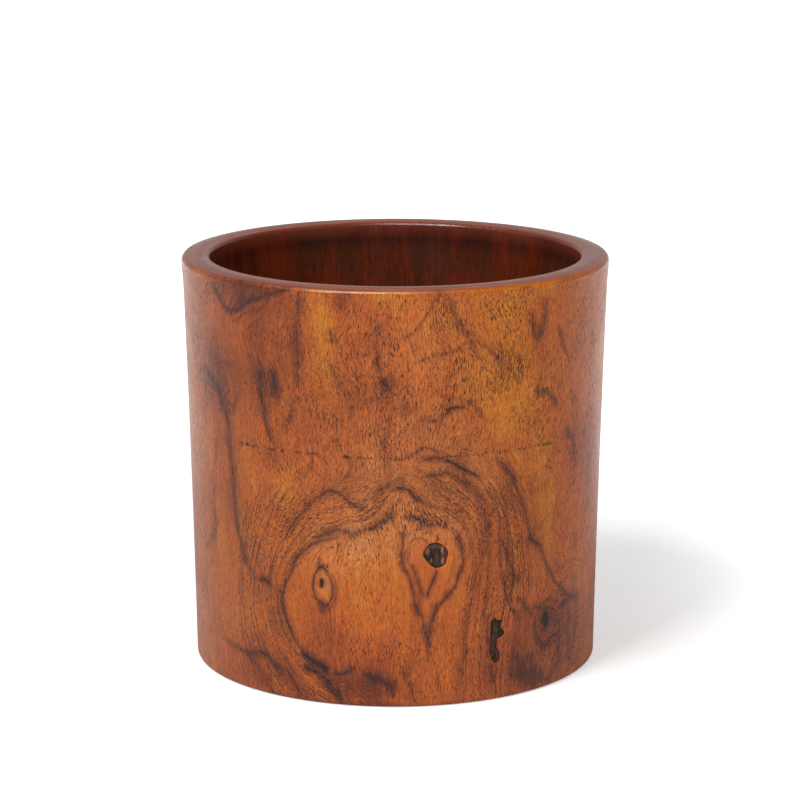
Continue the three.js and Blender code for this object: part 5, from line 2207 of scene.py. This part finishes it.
@dataclass
class Studio:
    """Camera, floor, lamps and world, in metres.

    A span of two numbers is where a change begins and where it is full: on the floor a place, and in the
    world the direction's own part.
    """

    white: Colour = (1.0, 1.0, 1.0, 1.0)
    camera_at: tuple[float, float, float] = (0.00205, -1.27253, 0.39656)
    camera_pitch: float = 12.642
    lens: float = 134.805
    sensor: float = 36.0
    farthest: float = 50.0
    aim_height: float = 0.09
    floor_size: float = 16.0
    floor_drop: float = 0.0002
    floor_colour: Colour = (0.8, 0.8, 0.8, 1.0)
    floor_glow: float = 0.425
    glow_round: Span = (0.12, 0.7)
    glow_beside: Span = (0.098, 0.27)
    floor_gloss: float = 0.12
    gloss_beside: Span = (0.05, 0.45)
    floor_gloss_behind: float = 0.95
    gloss_behind: Span = (0.1, 0.35)
    fill_light: float = 0.32
    side_span: Span = (-0.4, 0.6)
    front_span: Span = (-0.6, -0.1)
    back_span: Span = (0.1, 0.8)
    front_gloss: float = 0.14
    left_gloss: float = 0.5
    right_gloss: float = 0.1
    back_gloss: float = 0.5
    lamps: tuple[Lamp, ...] = (
        Lamp("key", (-0.66, -0.8, 1.38), 0.6, 20.5),
        Lamp("fill", (1.05, -1.4, 0.6), 1.2, 11.5, False),
        Lamp("glint", (-0.2, -0.62, 1.35), 0.8, 22.0, in_matte=False),
    )

    def build(self) -> None:
        """Sets the whole studio up."""
        self._camera()
        self._floor()
        for lamp in self.lamps:
            self._hang(lamp)
        self._world()
        bpy.context.scene.view_settings.view_transform = "Standard"

    def _camera(self) -> None:
        """Places the camera where the photograph was taken from."""
        data = bpy.data.cameras.new("camera")
        data.sensor_width = self.sensor
        data.lens = self.lens
        data.clip_end = self.farthest
        camera = place_object("camera", data)
        camera.location = self.camera_at
        camera.rotation_euler = (math.radians(90 - self.camera_pitch), 0, 0)
        bpy.context.scene.camera = camera

    def _floor(self) -> None:
        """Lays a pale floor that keeps the pot's shadow and turns white away from it."""
        bm = bmesh.new()
        bmesh.ops.create_grid(bm, x_segments=1, y_segments=1, size=self.floor_size / 2)
        mesh = bpy.data.meshes.new("floor")
        bm.to_mesh(mesh)
        bm.free()
        floor = place_object("floor", mesh)
        floor.location.z = -self.floor_drop
        floor.data.materials.append(self._floor_finish())

    def _floor_finish(self) -> bpy.types.Material:
        """Builds the floor's finish.

        Returns:
            The material: matte white, with a glow that is weaker near the pot and in the pot's gloss.
        """
        material, sheet = fresh_sheet("studio floor")
        matte = sheet.node("ShaderNodeBsdfDiffuse")
        matte.inputs[0].default_value = self.floor_colour
        glow = sheet.node("ShaderNodeEmission")
        glow.inputs[0].default_value = self.white
        path = sheet.node("ShaderNodeLightPath")
        place = sheet.node("ShaderNodeTexCoord").outputs["Object"]
        side, back, _ = sheet.split(place)
        near = sheet.remap(sheet.vector("LENGTH", place), *self.glow_round, self.floor_glow, 1.0)
        near = sheet.math("MAXIMUM", near, sheet.remap(side, *self.glow_beside, self.floor_glow, 1.0))
        behind = sheet.remap(back, *self.gloss_behind, 0.0, self.floor_gloss_behind)
        in_gloss = sheet.math("ADD", sheet.remap(side, *self.gloss_beside, self.floor_gloss, 0.0), behind)
        in_gloss = sheet.times(path.outputs["Is Glossy Ray"], in_gloss)
        seen = sheet.math("MAXIMUM", path.outputs["Is Camera Ray"], in_gloss)
        sheet.feed(glow.inputs[1], sheet.times(seen, near))
        both = sheet.node("ShaderNodeAddShader")
        sheet.feed(both.inputs[0], matte.outputs[0])
        sheet.feed(both.inputs[1], glow.outputs[0])
        sheet.feed(sheet.node("ShaderNodeOutputMaterial").inputs[0], both.outputs[0])
        return material

    def _hang(self, lamp: Lamp) -> None:
        """Hangs one lamp, aimed at the pot.

        Args:
            lamp: The lamp.
        """
        data = bpy.data.lights.new(lamp.name, "AREA")
        data.shape = "SQUARE"
        data.size = lamp.size
        data.energy = lamp.watts
        piece = place_object(lamp.name, data)
        piece.location = lamp.at
        aim = Vector((0, 0, self.aim_height)) - Vector(lamp.at)
        piece.rotation_euler = aim.to_track_quat("-Z", "Y").to_euler()
        piece.visible_glossy = lamp.in_gloss
        piece.visible_diffuse = lamp.in_matte

    def _world(self) -> None:
        """Fills in from all round: white to the camera, and darker in the wood's gloss at the front."""
        world = bpy.data.worlds.new("studio world")
        bpy.context.scene.world = world
        world.use_nodes = True
        world.node_tree.nodes.clear()
        sheet = NodeSheet(world.node_tree)
        path = sheet.node("ShaderNodeLightPath")
        across, depth, _ = sheet.split(sheet.node("ShaderNodeTexCoord").outputs["Generated"])
        side = sheet.remap(across, *self.side_span, self.left_gloss, self.right_gloss)
        gloss = sheet.blend(sheet.remap(depth, *self.front_span), self.front_gloss, side)
        gloss = sheet.blend(sheet.remap(depth, *self.back_span), gloss, self.back_gloss)
        strength = sheet.math("MAXIMUM", self.fill_light, path.outputs["Is Camera Ray"])
        extra = sheet.math("SUBTRACT", gloss, self.fill_light)
        in_gloss = sheet.times(path.outputs["Is Glossy Ray"], extra)
        back = sheet.node("ShaderNodeBackground")
        back.inputs[0].default_value = self.white
        sheet.feed(back.inputs[1], sheet.math("ADD", strength, in_gloss))
        output = sheet.node("ShaderNodeOutputWorld")
        sheet.feed(output.inputs[0], back.outputs[0])


# Assembly


def main() -> None:
    """Builds the pot piece by piece, dresses it and lights it."""
    logging.basicConfig(level=logging.INFO, format="%(name)s: %(message)s")
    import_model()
    book = EffectBook()
    wood = RosewoodFinish().material(book)
    plug_wood = PlugFinish().material(book)
    putty = PuttyFinish().material(book)
    makers = [(PotBody(), wood), (BasePlug(), plug_wood)]
    makers += [(FlawFilling(flaw), putty) for flaw in FLAWS]
    for maker, material in makers:
        piece = maker.build()
        piece.data.materials.append(material)
        log.info("%s: %d faces", piece.name, len(piece.data.polygons))
    Studio().build()


if __name__ == "__main__":
    main()
